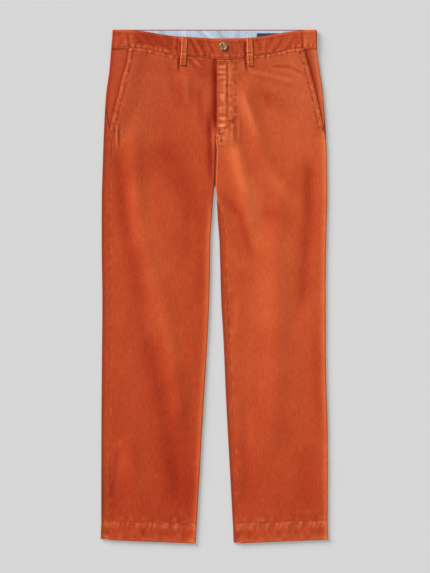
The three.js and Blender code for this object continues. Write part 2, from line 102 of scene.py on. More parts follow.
def join(tree, made, **inputs):
    """Sets or links a node's inputs by name, or by number as i0, i1 and i2."""
    for name, value in inputs.items():
        key = int(name[1:]) if name[0] == "i" and name[1:].isdigit() else name.replace("_", " ")
        if isinstance(value, bpy.types.Node):
            value = next(socket for socket in value.outputs if socket.enabled)
        if isinstance(value, bpy.types.NodeSocket):
            tree.links.new(value, made.inputs[key])
        else:
            made.inputs[key].default_value = value


def node(tree, kind, settings=None, **inputs):
    """Adds one node with its settings. An input is a value, a socket, or a node's first output."""
    made = tree.nodes.new(kind)
    for name, value in (settings or {}).items():
        setattr(made, name, value)
    join(tree, made, **inputs)
    return made


def new_material(name, **shader):
    """A material with one Principled shader, whose constants are set on its own sockets."""
    made = bpy.data.materials.new(name)
    made.use_nodes = True
    surface = made.node_tree.nodes["Principled BSDF"]
    join(made.node_tree, surface, **shader)
    return made, made.node_tree, surface


print("orange as linear light:", [round(c, 3) for c in paint("#bc4d2d")[:3]])

# %% Floor and light
FLOOR_SIZE = 40.0
FLOOR_DROP = 0.0003
LIGHT_FROM = Vector((-0.64, 0.58, 0.40))
KEY_POWER = 4.55
KEY_SOFTNESS = 34
SKY_COLOUR = (1.0, 0.99, 0.98, 1.0)
SKY_POWER = 0.36

bpy.ops.mesh.primitive_plane_add(size=FLOOR_SIZE, location=(0, 0, -FLOOR_DROP))
floor = bpy.context.object
floor.name = "floor"
floor_paint, _, _ = new_material(
    "matt board, lit from below", Base_Color=paint("#afafaf"), Roughness=0.9,
    Emission_Color=paint("#d9d9d9"), Emission_Strength=0.365,
)
floor.data.materials.append(floor_paint)
floor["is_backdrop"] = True

key = bpy.data.objects.new("key", bpy.data.lights.new("key", "SUN"))
key.data.energy = KEY_POWER
key.data.angle = math.radians(KEY_SOFTNESS)
key.rotation_euler = (-LIGHT_FROM).to_track_quat("-Z", "Y").to_euler()
bpy.context.scene.collection.objects.link(key)

world = bpy.data.worlds.new("studio")
world.use_nodes = True
sky = world.node_tree.nodes["Background"]
join(world.node_tree, sky, Color=SKY_COLOUR, Strength=SKY_POWER)
bpy.context.scene.world = world
bpy.context.scene.view_settings.view_transform = "Standard"
print("light from", tuple(round(c, 2) for c in LIGHT_FROM.normalized()))

# %% [markdown]
# ## Corduroy
# Corduroy is a cotton cloth with rows of cut pile, the wales. Each wale is a soft round rib, and
# the groove between two gets painted shade. Here the ribs are about 2 mm wide, so they are bump
# on the shell and not modelled. They follow the cloth and not the world: each shell carries the
# distance across its grain as an attribute, so that the ribs run down a leg and round its folds.
# Light rubs off on raised edges, and the pile lies differently on each piece, which the eye
# sees as a change of tone. Two more attributes carry that, wear and nap, and with it painted light
# and shade: painted shade in sunk relief and on the folds down the wearer's right, a painted sheen
# round the folds, strongest down the wearer's left, the painted light and shade of the large
# folds, and painted shadows beside the fly and the belt loops.

# %% Corduroy finish
WALE = 2.1
STREAK = 3.6
# The deep colour is the dark brown of painted shade, and the rubbed one that of worn edges and of
# painted sheen
ORANGE = {"deep": "#78341b", "body": "#c34b27", "warm": "#c84f2b", "rubbed_and_sheen": "#ee8e5c"}
COLOUR_MIX = {"data_type": "RGBA"}


def corduroy_finish():
    made, tree, surface = new_material(
        "cotton corduroy", Roughness=0.88, Sheen_Weight=0.22, Sheen_Roughness=0.4,
        Sheen_Tint=paint("#f08a58"), Specular_IOR_Level=0.08,
    )
    across, along, wear_and_shade, nap_and_shade = (
        node(tree, "ShaderNodeAttribute", {"attribute_name": name}).outputs["Fac"]
        for name in ("across", "along", "wear_and_shade", "nap_and_shade")
    )
    place = node(tree, "ShaderNodeTexCoord").outputs["Object"]
    deep, body, warm, rubbed_and_sheen = (paint(code) for code in ORANGE.values())

    # Ribs: a rounded rib and a narrow groove, once every wale
    turn = node(tree, "ShaderNodeMath", {"operation": "MULTIPLY"}, i0=across, i1=math.pi / WALE)
    wave = node(tree, "ShaderNodeMath", {"operation": "SINE"}, i0=turn)
    size = node(tree, "ShaderNodeMath", {"operation": "ABSOLUTE"}, i0=wave)
    rib = node(tree, "ShaderNodeMath", {"operation": "POWER"}, i0=size, i1=0.55)

    # The pile is cut and brushed rib by rib, so its height varies in short streaks along it.
    # A single rib is finer than the picture shows, so the streaks are two or three ribs wide.
    grain_x = node(tree, "ShaderNodeMath", {"operation": "DIVIDE"}, i0=across, i1=STREAK)
    grain_y = node(tree, "ShaderNodeMath", {"operation": "DIVIDE"}, i0=along, i1=STREAK * 4)
    grain = node(tree, "ShaderNodeCombineXYZ", X=grain_x, Y=grain_y)
    streak = node(tree, "ShaderNodeTexNoise", Vector=grain, Scale=1.0, Detail=2.0)
    pile = node(tree, "ShaderNodeTexNoise", Vector=place, Scale=900.0, Detail=3.0)
    cloud = node(tree, "ShaderNodeTexNoise", Vector=place, Scale=16.0, Detail=1.0)
    speck = node(tree, "ShaderNodeTexNoise", Vector=place, Scale=430.0, Detail=2.0)

    # Colour: cloudy dye, painted shade in the rib grooves, lighter worn edges with painted sheen,
    # and browner painted shade in sunk relief and on the folds down the wearer's right
    cloudy = node(tree, "ShaderNodeMapRange", Value=cloud, From_Min=0.35, From_Max=0.65)
    dyed = node(tree, "ShaderNodeMix", COLOUR_MIX, Factor=cloudy, A=body, B=warm)
    # Painted shade in the groove between two ribs
    depth = node(tree, "ShaderNodeMapRange", Value=rib, To_Min=0.34, To_Max=0.0)
    groove_shade = node(tree, "ShaderNodeMix", COLOUR_MIX, Factor=depth, A=dyed, B=deep)
    raised = node(tree, "ShaderNodeClamp", Value=wear_and_shade)
    # Lighter on rubbed relief, with a painted highlight, and a painted sheen round folds
    worn_and_sheen = node(tree, "ShaderNodeMix", COLOUR_MIX, Factor=raised, A=groove_shade, B=rubbed_and_sheen)
    # Painted shade, dark brown, in sunk relief and on the folds down the wearer's right
    sunk_shade = node(tree, "ShaderNodeMapRange", Value=wear_and_shade, From_Min=0.0, From_Max=-0.8)
    shaded = node(tree, "ShaderNodeMix", COLOUR_MIX, Factor=sunk_shade, A=worn_and_sheen, B=deep)

    # Tone: streaks, specks, the lie of the nap, and painted light and shade of the folds, the fly and
    # the loops. Deep pile and painted shade turn red, and open pile and painted light turn orange,
    # as green and blue change faster than red.
    streaked = node(tree, "ShaderNodeMapRange", Value=streak, To_Min=-0.13, To_Max=0.13)
    specked = node(tree, "ShaderNodeMapRange", Value=speck, To_Min=0.82, To_Max=1.18)
    tone = node(tree, "ShaderNodeMath", {"operation": "ADD"}, i0=streaked, i1=nap_and_shade)
    level = node(tree, "ShaderNodeMath", {"operation": "ADD"}, i0=tone, i1=specked)
    hue = node(tree, "ShaderNodeMath", {"operation": "POWER"}, i0=level, i1=2.3)
    tint = node(tree, "ShaderNodeCombineXYZ", X=level, Y=hue, Z=hue)
    toned = node(tree, "ShaderNodeVectorMath", {"operation": "MULTIPLY"}, i0=shaded, i1=tint)

    # Relief: ribs, streaks and pile together
    height = node(tree, "ShaderNodeMath", {"operation": "MULTIPLY_ADD"}, i0=streak, i1=0.9, i2=rib)
    fluff = node(tree, "ShaderNodeMath", {"operation": "MULTIPLY_ADD"}, i0=pile, i1=0.5, i2=height)
    bump = node(tree, "ShaderNodeBump", Height=fluff, Strength=0.55, Distance=0.35 * MM)
    join(tree, surface, Base_Color=toned, Normal=bump)
    return made


corduroy = corduroy_finish()
print(corduroy.name, "with a rib every", WALE, "mm")

# %% [markdown]
# ## Other finishes
# The lining is chambray, a plain weave of a blue and a white thread, matt and slightly striped.
# The label is a woven tape with a faint satin rib. The button is horn: streaky, olive brown,
# and polished. The sewing thread is spun polyester in the colour of the cloth.


# %% Chambray, label tape, horn and thread
# A wave texture at scale 1 repeats after this length
WAVE_TURN = math.tau / 20


def chambray_finish():
    made, tree, surface = new_material("cotton chambray", Roughness=0.85, Specular_IOR_Level=0.15)
    place = node(tree, "ShaderNodeTexCoord").outputs["Object"]
    # A real thread is 0.3 mm, so the weave is drawn at 1.2 mm to show
    weave = node(tree, "ShaderNodeTexNoise", Vector=place, Scale=1 / (1.2 * MM), Detail=1.0)
    stripe = node(
        tree, "ShaderNodeTexWave", {"bands_direction": "X"},
        Vector=place, Scale=WAVE_TURN / (7 * MM), Distortion=0.4,
    ).outputs["Fac"]
    mixed = node(
        tree, "ShaderNodeMath", {"operation": "MULTIPLY_ADD"}, i0=stripe, i1=0.12, i2=weave)
    share = node(tree, "ShaderNodeMapRange", Value=mixed, From_Min=0.35, From_Max=0.95)
    woven = node(
        tree, "ShaderNodeMix", COLOUR_MIX, Factor=share, A=paint("#afc4d7"), B=paint("#d8e2ea"))
    # A crease catches the light on its crest and holds it back in its valley
    nap_and_shade = node(tree, "ShaderNodeAttribute", {"attribute_name": "nap_and_shade"}).outputs["Fac"]
    level = node(tree, "ShaderNodeMath", {"operation": "ADD"}, i0=nap_and_shade, i1=1.0)
    creased = node(tree, "ShaderNodeVectorMath", {"operation": "SCALE"}, i0=woven, Scale=level)
    bump = node(tree, "ShaderNodeBump", Height=weave, Strength=0.4, Distance=0.2 * MM)
    join(tree, surface, Base_Color=creased, Normal=bump)
    return made


def tape_finish():
    made, tree, surface = new_material("woven satin tape", Roughness=0.6, Sheen_Weight=0.2)
    place = node(tree, "ShaderNodeTexCoord").outputs["Object"]
    rib = node(
        tree, "ShaderNodeTexWave", {"bands_direction": "Y"},
        Vector=place, Scale=WAVE_TURN / (1.1 * MM),
    ).outputs["Fac"]
    navy = node(
        tree, "ShaderNodeMix", COLOUR_MIX, Factor=rib, A=paint("#10203f"), B=paint("#20345e"))
    bump = node(tree, "ShaderNodeBump", Height=rib, Strength=0.3, Distance=0.15 * MM)
    join(tree, surface, Base_Color=navy, Normal=bump)
    return made


def horn_finish():
    made, tree, surface = new_material(
        "polished horn", Roughness=0.38, Coat_Weight=0.25, Coat_Roughness=0.2)
    place = node(tree, "ShaderNodeTexCoord").outputs["Object"]
    drawn = node(tree, "ShaderNodeMapping", Vector=place, Scale=(260.0, 90.0, 160.0))
    cloud = node(tree, "ShaderNodeTexNoise", Vector=drawn, Scale=1.0, Detail=4.0, Distortion=0.8)
    ramp = node(tree, "ShaderNodeValToRGB", Fac=cloud)
    stops = ramp.color_ramp.elements
    stops[0].position, stops[0].color = 0.32, paint("#54402a")
    stops[1].position, stops[1].color = 0.62, paint("#c9b282")
    stops.new(0.5).color = paint("#86693f")
    join(tree, surface, Base_Color=ramp)
    return made


def thread_finish():
    made, tree, surface = new_material("spun polyester thread", Roughness=0.8)
    place = node(tree, "ShaderNodeTexCoord").outputs["Object"]
    twist = node(tree, "ShaderNodeTexNoise", Vector=place, Scale=700.0, Detail=1.0)
    spun = node(
        tree, "ShaderNodeMix", COLOUR_MIX, Factor=twist, A=paint("#a0421f"), B=paint("#c8623a"))
    join(tree, surface, Base_Color=spun)
    return made


chambray = chambray_finish()
tape = tape_finish()
horn = horn_finish()
thread = thread_finish()
print("finishes:", ", ".join(m.name for m in (chambray, tape, horn, thread)))

# %% [markdown]
# ## The form that every shell follows
# The same few tables that shape the frame's walls are repeated here: the outline, the inner
# edges of the legs, the dip of the front waistband, where each seam lies, and the largest folds.
# A smooth curve runs through each column. A section across the garment is flat below, round at
# both folds and free above, and a place on it is a distance round the cloth.


# %% Tables
def table(columns, rows):
    """The named columns of a short table, as arrays."""
    return dict(zip(columns.split(), np.array(rows, float).T))


BAND_HEIGHT = 38.0
HEM_HEIGHT = 42.0
SEAM_GAP = 0.3
CLOSED = 0.08
CLOTH = 1.4
BAND_CLOTH = 1.8

OUTLINE = table("depth left right", [
    (0, -208.2, 209.3),
    (41, -211.8, 210.4),
    (82, -215.2, 215.5),
    (115, -219.7, 220.2),
    (147, -223.0, 223.4),
    (213, -226.5, 228.1),
    (278, -228.8, 230.4),
    (348, -230.7, 230.9),
    (430, -230.9, 228.7),
    (553, -229.6, 227.5),
    (716, -230.8, 228.7),
    (839, -231.6, 231.8),
    (1003, -231.8, 231.8),
    (1051, -232.9, 232.9),
])
LEGS = table("depth right left", [
    (224, 2.7, 6.0),
    (278, 1.2, 4.6),
    (322, -0.7, 3.1),
    (348, -2.8, 4.6),
    (389, -5.6, 6.7),
    (430, -8.1, 9.9),
    (553, -10.5, 13.6),
    (635, -14.0, 18.3),
    (757, -21.8, 23.6),
    (921, -30.8, 32.6),
    (1051, -38.4, 39.4),
])
DIP = table("x top seam", [
    (-173, 0.6, 38),
    (-144, 3.6, 39.5),
    (-112, 9, 46),
    (-81, 13.2, 52.5),
    (-30, 16.5, 55.8),
    (5, 18.2, 60),
    (40, 17.8, 60.5),
    (62, 17.4, 55.5),
    (95, 14, 51.5),
    (131, 8, 46.5),
    (158, 3.8, 40),
    (185, 0.5, 38),
])
SIDE_RIGHT = table("depth front opening", [
    (38, -34.5, 46.1),
    (61, -32.8, 44.4),
    (102, -25.9, 37.5),
    (133, -22.9, 31),
    (150, -19.6, 24.1),
    (168, -16, 15),
    (185, -13, 8),
    (196, -11, 4),
    (206, -9, CLOSED),
    (238, -14.4, CLOSED),
    (1051, -14.4, CLOSED),
])
SIDE_LEFT = table("depth front opening", [
    (38, -24.7, 36.3),
    (86, -17.7, 29.3),
    (123, -12.8, 24.4),
    (150, -9, 18),
    (168, -6.6, 12.6),
    (185, -4.4, 7),
    (196, -3, 3.4),
    (206, -1.6, CLOSED),
    (235, 3.8, CLOSED),
    (262, 11, CLOSED),
    (300, 22.3, CLOSED),
    (1051, 22.3, CLOSED),
])
INSEAM_RIGHT = table("depth front", [(206, 0), (240, 4.5), (326, 4.5), (400, 18.3), (1051, 18.3)])
INSEAM_LEFT = table("depth front", [(212, 0), (240, 4.5), (326, 4.5), (400, -10.1), (1051, -10.1)])
SWELL = table("depth height", [
    (38, 0.9),
    (80, 0.7),
    (230, -0.2),
    (930, -0.2),
    (1009, 0.5),
    (1051, 0.5),
])
print("outline rows:", len(OUTLINE["depth"]))

# %% Folds
# Soft ridges, and with a negative height troughs, each along a line
FOLD_COLUMNS = "x1 depth1 x2 depth2 width height"
FOLDS = table(FOLD_COLUMNS, [
    (-212, 225, -189, 305, 13, -1.4),
    (-189, 305, -173, 446, 14, -1.5),
    (-167, 200, -152, 414, 17, 2.6),
    (-152, 414, -97, 594, 20, 3.6),
    (-97, 594, -66, 800, 18, 3.0),
    (-124, 246, -54, 354, 15, -1.5),
    (-54, 354, -44, 467, 13, -1.4),
    (-152, 565, -103, 739, 15, -1.5),
    (-103, 739, -70, 956, 16, -1.6),
    (-173, 830, -165, 960, 18, 2.2),
    (60, 121, 92, 240, 15, 3.0),
    (92, 240, 153, 338, 16, 2.6),
    (24, 180, 50, 250, 12, 2.6),
    (50, 250, 77, 414, 14, 3.0),
    (18, 350, 65, 467, 12, -1.6),
    (202, 282, 198, 400, 13, -1.5),
    (198, 400, 179, 594, 15, -1.6),
    (120, 400, 128, 640, 26, 3.2),
    (128, 640, 118, 860, 24, 2.2),
    (64, 770, 62, 980, 14, -1.6),
])
FOLD_TAPER = 50.0


def smoothstep(value, low, high):
    share = np.clip((value - low) / (high - low), 0.0, 1.0)
    return share * share * (3 - 2 * share)


def lerp(a, b, share):
    return a + (b - a) * share


def plateau(value, low, high, soft):
    """One between low and high, and nothing outside, with soft ends."""
    begin = smoothstep(value, low - soft, low + soft)
    end = smoothstep(value, high - soft, high + soft)
    return begin * (1 - end)


def bell(distance, width):
    return np.exp(-((distance / width) ** 2))


def ridges(lines, x, depth, taper=FOLD_TAPER):
    """Height of a table of ridges and troughs at each point."""
    total = np.zeros(np.broadcast(x, depth).shape)
    for x1, d1, x2, d2, width, height in zip(*lines.values()):
        run_x, run_d = x2 - x1, d2 - d1
        length = math.hypot(run_x, run_d)
        half = min(taper, length) / 2
        along = ((x - x1) * run_x + (depth - d1) * run_d) / length
        across = ((x - x1) * run_d - (depth - d1) * run_x) / length
        ends = smoothstep(along, -half, half) * (1 - smoothstep(along, length - half, length + half))
        total = total + height * ends * bell(across, width)
    return total


def curve(rows, column, by="depth"):
    """A smooth curve through one column, which never swings past the rows beside it."""
    at, value = rows[by], rows[column]
    rise = np.diff(value) / np.diff(at)
    before, after = np.append(rise[0], rise), np.append(rise, rise[-1])
    total = np.where(before + after == 0, 1, before + after)
    slope = np.where(before * after > 0, 2 * before * after / total, 0)

    def read(place):
        x = np.clip(place, at[0], at[-1])
        i = np.clip(np.searchsorted(at, x) - 1, 0, len(at) - 2)
        step = at[i + 1] - at[i]
        t = (x - at[i]) / step
        rest = 1 - t
        ends = value[i] * rest * rest * (1 + 2 * t) + value[i + 1] * t * t * (3 - 2 * t)
        return ends + step * t * rest * (slope[i] * rest - slope[i + 1] * t)

    return read


edge_left, edge_right = curve(OUTLINE, "left"), curve(OUTLINE, "right")
inner_right, inner_left = curve(LEGS, "right"), curve(LEGS, "left")
dip_top, dip_seam = curve(DIP, "top", "x"), curve(DIP, "seam", "x")
swell = curve(SWELL, "height")
side_right, side_left = curve(SIDE_RIGHT, "front"), curve(SIDE_LEFT, "front")
opening_right, opening_left = curve(SIDE_RIGHT, "opening"), curve(SIDE_LEFT, "opening")
inseam_right, inseam_left = curve(INSEAM_RIGHT, "front"), curve(INSEAM_LEFT, "front")
print("half way down, the legs part by", round(float(inner_left(600) - inner_right(600)), 1), "mm")

# %% Height of the upper layer
FOLD_RADIUS = 2.6
TURN = math.pi * FOLD_RADIUS
LOOP_ROOM = 1.5
SWELL_REACH = 45.0
BAND_TOP = 8.3
FLY_EDGE = 4.6
FLY_UNDERLAP = 9.4
FLY_LAP = 2.2
FLY_END = 206.0
FLY_CLOSE = (FLY_END + 16, FLY_END + 38)
POCKET_END = 196.0
POCKET_UNDER = 14.0
POCKET_LAP = CLOTH + SEAM_GAP
POCKET_BLEND = (16, 46)
POCKET_FADE = 28
FLY_BLEND = (22, 60)
CROTCH = 321.0
SLIT_TOP = 224.0
LIFT_END = 95
DIP_END = 150
HEM_RISE = 8
HEM_FADE = 150
LEG_INSIDE = 38
LEG_WIDTH = 195


def lift(depth):
    """The back waistband's loops hold the cloth off the floor near the waist."""
    return LOOP_ROOM * (1 - smoothstep(depth, BAND_HEIGHT + 2, LIFT_END))


def skin(x, depth):
    outer = np.minimum(x - edge_left(depth), edge_right(depth) - x) - FOLD_RADIUS
    on_right = x < (inner_right(depth) + inner_left(depth)) / 2
    inner = np.where(on_right, inner_right(depth) - x, x - inner_left(depth))
    parted = smoothstep(depth, SLIT_TOP - 10, SLIT_TOP + 16)
    nearest = lerp(outer, np.minimum(outer, inner - FOLD_RADIUS), parted)
    free = smoothstep(nearest, 0, SWELL_REACH)
    hem = 1 - 0.5 * smoothstep(depth, LENGTH - 3 * HEM_HEIGHT, LENGTH - HEM_HEIGHT)
    return lift(depth) + 2 * FOLD_RADIUS + free * (swell(depth) + hem * ridges(FOLDS, x, depth))


def fly_lap(x):
    return 1 - smoothstep(x, *FLY_BLEND)


def pocket_lap(from_edge, depth):
    across = 1 - smoothstep(from_edge, *POCKET_BLEND)
    return POCKET_LAP * across * (1 - smoothstep(depth, POCKET_END, POCKET_END + POCKET_FADE))


def hem_depth(x, depth):
    """Hems rise a little from the inner to the outer edge of each leg."""
    out = np.clip((np.abs(x) - LEG_INSIDE) / LEG_WIDTH, 0, 1)
    return depth - HEM_RISE * out * smoothstep(depth, LENGTH - HEM_FADE, LENGTH)


def front_depth(x, depth):
    """Rows near the waist follow the waistband's dipped seam."""
    dipped = (dip_seam(x) - BAND_HEIGHT) * (1 - smoothstep(depth, BAND_HEIGHT, DIP_END))
    return hem_depth(x, depth) + dipped


def seat_seam(depth):
    return lerp(0, (inner_right(depth) + inner_left(depth)) / 2, smoothstep(depth, 40, 200))


def right_fold(depth):
    """Where the cloth begins to turn round the fold at the wearer's right."""
    return edge_left(depth) + FOLD_RADIUS


def left_fold(depth):
    return edge_right(depth) - FOLD_RADIUS


def right_front_edge(depth):
    under_fly = FLY_EDGE + FLY_UNDERLAP + FOLD_RADIUS
    return lerp(under_fly, inner_right(depth), smoothstep(depth, POCKET_END, SLIT_TOP))


def left_front_edge(depth):
    return lerp(FLY_EDGE - FOLD_RADIUS, inner_left(depth), smoothstep(depth, *FLY_CLOSE))


def right_front_low(depth):
    """A front reaches from a low place round its section to a high one."""
    return right_fold(depth) - side_right(depth)


def right_front_high(depth):
    return right_front_edge(depth) - FOLD_RADIUS + inseam_right(depth)


def left_front_low(depth):
    return left_front_edge(depth) + FOLD_RADIUS - inseam_left(depth)


def left_front_high(depth):
    return left_fold(depth) + side_left(depth)


def right_front_top(x, depth):
    """The cloth slopes down under the lap of the fly, and dips beside the seam below it."""
    beside = 1.8 * smoothstep(x, FLY_EDGE - 15, FLY_EDGE + 1) * plateau(depth, 46, 206, 8)
    below = 1.2 * bell(x + lerp(9, 5, smoothstep(depth, 160, 240)), 5) * plateau(depth, 190, 300, 24)
    return skin(x, depth) + pocket_lap(x - right_front_low(depth), depth) - beside - below


def left_front_top(x, depth):
    fly = FLY_LAP * fly_lap(x) * (1 - smoothstep(depth, *FLY_CLOSE))
    return skin(x, depth) + pocket_lap(left_front_high(depth) - x, depth) + fly


def band_top(x, lapped):
    return BAND_TOP + (BAND_CLOTH + SEAM_GAP) * fly_lap(x) * lapped


print("thigh stands", round(float(right_front_top(-110.0, 400.0)), 1), "mm high")

# %% [markdown]
# ## Building a shell
# A cut piece is a grid. Each row runs round its section from one raw edge to the other, and its
# points are spread so that folds and edges get more of them. The outer face gets the small
# relief, pushed out along its normal: seams, puckers, creases. The inner face is the plain
# form, one cloth thickness behind, and a rim closes the wall. Doing this with arrays keeps
# every place known in cloth terms, so that stitches and the grain of the pile can follow it.


# %% Places round a section
def divide(first, stretches):
    """Places round each row: even steps along each stretch in turn."""
    begin, parts = first, [first]
    for until, steps in stretches:
        until = until + np.zeros_like(first)
        parts.append(begin + (until - begin) * np.arange(1, steps + 1) / steps)
        begin = until
    return np.hstack(parts)


EDGE = 5.0
EDGE_STEPS = 7
FOLD_STEPS = 12


def spread(low, high, level, low_fold=None, high_fold=None, low_tail=3, high_tail=3):
    """Places from low to high, with close steps at both raw edges and over the folds."""
    stretches = []
    if low_fold is None:
        stretches.append((low + EDGE, EDGE_STEPS))
    else:
        first = np.maximum(low_fold, low + 6)
        stretches.append((np.maximum(first - TURN, low + 1), low_tail))
        stretches.append((first, FOLD_STEPS))
    if high_fold is None:
        return divide(low, [*stretches, (high - EDGE, level), (high, EDGE_STEPS)])
    last = np.minimum(high_fold, high - 6)
    stretches += [(last, level), (np.minimum(last + TURN, high - 1), FOLD_STEPS), (high, high_tail)]
    return divide(low, stretches)


def on_section(cut, depth, place):
    """Points round the sections: x, depth, z, and whether they face up."""
    start, end = cut["left"](depth) + FOLD_RADIUS, cut["right"](depth) - FOLD_RADIUS
    base, flat = cut["base"](depth), end - start
    around = 2 * (flat + TURN)
    rest = np.mod(place - start, around)
    level = rest <= flat
    under = (rest >= flat + TURN) & (rest <= 2 * flat + TURN)
    far_side = ~level & ~under & (rest < flat + TURN)
    angle = np.where(far_side, rest - flat, around - rest) / FOLD_RADIUS
    hinge = np.where(far_side, end, start)
    turned = hinge + np.where(far_side, 1, -1) * FOLD_RADIUS * np.sin(angle)
    x = np.where(level, start + rest, np.where(under, end - (rest - flat - TURN), turned))
    half = (cut["top"](hinge, cut["warp"](hinge, depth)) - base) / 2
    round_z = base + half + half * np.cos(angle)
    z = np.where(level, cut["top"](x, cut["warp"](x, depth)), np.where(under, base, round_z))
    above = level | (~under & (angle < math.pi / 2))
    down = np.where(above, cut["warp"](x, depth), cut["warp_below"](x, depth))
    return x, down, z, above


print("a fold is", round(TURN, 1), "mm round")


# %% From a grid to a mesh
def smoothed(values, reach=3):
    """Each value of a grid averaged with its neighbours."""
    for axis in (0, 1):
        edges = [(0, 0), (0, 0)]
        edges[axis] = (reach, reach)
        wide = np.pad(values, edges, mode="edge")
        shifts = range(2 * reach + 1)
        count = values.shape[axis]
        values = sum(np.take(wide, range(i, i + count), axis) for i in shifts) / len(shifts)
    return values


def wear_and_cavity_shade(relief):
    """Above zero where small relief stands up, rubbed and with a painted highlight; below zero where it
    is sunk, in painted shade.
    """
    return np.clip(1.1 * (relief - smoothed(relief)), -0.8, 0.8)


def grid_normals(points):
    """Outward normals of a grid whose rows run down the garment."""
    down = np.gradient(points, axis=0)
    across = np.gradient(points, axis=1)
    normal = np.cross(down, across)
    return normal / np.maximum(np.linalg.norm(normal, axis=2, keepdims=True), 1e-9)


def mesh_from(name, vertices, faces, attributes, material):
    made = bpy.data.meshes.new(name)
    made.from_pydata(vertices.tolist(), [], faces.tolist())
    for key, values in attributes.items():
        stored = made.attributes.new(key, "FLOAT", "POINT")
        stored.data.foreach_set("value", values.astype(np.float32))
    made.polygons.foreach_set("use_smooth", np.ones(len(made.polygons), bool))
    made.set_sharp_from_angle(angle=math.radians(60))
    made.materials.append(material)
    piece = bpy.data.objects.new(name, made)
    bpy.context.scene.collection.objects.link(piece)
    return piece


def shell(name, outer, inner, attributes, material):
    """One closed wall from a grid of outer points and the inner points behind them, in mm."""
    rows, columns = outer.shape[:2]
    index = np.arange(rows * columns).reshape(rows, columns)
    behind = index + rows * columns

    def quads(a, b, c, d):
        return np.stack([a, b, c, d], axis=-1).reshape(-1, 4)

    faces = np.concatenate([
        quads(index[:-1, :-1], index[1:, :-1], index[1:, 1:], index[:-1, 1:]),
        quads(behind[:-1, :-1], behind[:-1, 1:], behind[1:, 1:], behind[1:, :-1]),
        quads(index[:-1, 0], behind[:-1, 0], behind[1:, 0], index[1:, 0]),
        quads(index[:-1, -1], index[1:, -1], behind[1:, -1], behind[:-1, -1]),
        quads(index[0, :-1], index[0, 1:], behind[0, 1:], behind[0, :-1]),
        quads(index[-1, :-1], behind[-1, :-1], behind[-1, 1:], index[-1, 1:]),
    ])
    vertices = np.concatenate([outer.reshape(-1, 3), inner.reshape(-1, 3)]) * MM
    both = {key: np.tile(values.ravel(), 2) for key, values in attributes.items()}
    return mesh_from(name, vertices, faces, both, material)


def cut_piece(name, cut):
    """Builds one cut piece of cloth, and keeps its grid for the sewing on it."""
    depth = np.array(cut["depths"])[:, None]
    place = cut["places"](depth)
    x, down, z, above = on_section(cut, depth, place)
    plain = np.stack([x, LENGTH / 2 - down, z], axis=2)
    normal = grid_normals(plain)
    sewn = cut["relief"](place, depth) * np.ones_like(place)
    outer = plain + normal * (sewn + cut["soft"](place, depth))[..., None]
    outer[..., 2] = np.maximum(outer[..., 2], 0)
    inner = plain - normal * cut["thick"](depth)[..., None]
    # How far a face turns down round a fold, where it gets a painted sheen
    fold_sheen = np.clip(1 - normal[..., 2], 0, 1) * above
    lean = cut.get("lean", 0.0)
    across, along = (place - lean * depth, depth) if not cut.get("crosswise") else (depth, place)
    attributes = {
        "across": across + np.zeros_like(place),
        "along": along + np.zeros_like(place),
        # Wear with painted light and shade: rubbed relief lighter, sunk relief and some folds in
        # painted shade, a painted sheen round folds
        "wear_and_shade": wear_and_cavity_shade(sewn) + 0.4 * smoothstep(fold_sheen, 0.05, 0.7) + cut["rub_and_shade"](place, depth),
        "nap_and_shade": cut["nap_and_shade"](place, depth) * np.ones_like(place),
    }
    piece = shell(name, outer, inner, attributes, corduroy)
    run = np.hypot(*np.diff(np.stack([x, z]), axis=2)).sum(axis=1)
    area = float(((run[1:] + run[:-1]) / 2 * np.diff(depth[:, 0])).sum()) * MM * MM
    size = (float(run.max()) * MM, float(depth[-1, 0] - depth[0, 0]) * MM)
    print(f"{name}: {len(piece.data.polygons)} faces, cut {size[0]:.3f} by {size[1]:.3f} m")
    return {
        "piece": piece, "depths": depth[:, 0], "places": place,
        "outer": outer, "normal": normal, "area": area, "size": size,
    }


print("shells are built from grids in millimetres")

# %% [markdown]
# ## Uneven by hand
# Sewn cloth puckers, and no two puckers are alike. A smooth random wave with a fixed seed
# gives each seam its own row of them. A stitched line is a narrow groove with the puckers
# fading away on both sides.

# %% Waves, lines and stitched grooves
KNOTS = 4096


def uneven(place, pitch, seed):
    """A smooth random wave along a line, between -1 and 1."""
    knots = np.random.default_rng(seed).uniform(-1, 1, KNOTS)
    at = np.asarray(place) / pitch + KNOTS / 4
    low = np.floor(at).astype(int)
    share = smoothstep(at - low, 0, 1)
    return lerp(knots[low % KNOTS], knots[(low + 1) % KNOTS], share)


def rumple(x, y, pitch_x, pitch_y, seed):
    """A smooth random surface, between -1 and 1."""
    knots = np.random.default_rng(seed).uniform(-1, 1, (256, 256))
    at_x, at_y = np.broadcast_arrays(np.asarray(x) / pitch_x + 64, np.asarray(y) / pitch_y + 64)
    col, row = np.floor(at_x).astype(int), np.floor(at_y).astype(int)
    share_x, share_y = smoothstep(at_x - col, 0, 1), smoothstep(at_y - row, 0, 1)
    upper = lerp(knots[row % 256, col % 256], knots[row % 256, (col + 1) % 256], share_x)
    lower = lerp(knots[(row + 1) % 256, col % 256], knots[(row + 1) % 256, (col + 1) % 256], share_x)
    return lerp(upper, lower, share_y)


def near(line, x, depth):
    """Distance from a line of points, and how far along the line."""
    best = np.full(np.broadcast(x, depth).shape, 1e9)
    along, travelled = np.zeros(best.shape), 0.0
    for (x1, d1), (x2, d2) in zip(line[:-1], line[1:]):
        run = math.hypot(x2 - x1, d2 - d1)
        share = np.clip(((x - x1) * (x2 - x1) + (depth - d1) * (d2 - d1)) / run ** 2, 0, 1)
        far = np.hypot(x - x1 - share * (x2 - x1), depth - d1 - share * (d2 - d1))
        along = np.where(far < best, travelled + share * run, along)
        best = np.minimum(far, best)
        travelled += run
    return best, along


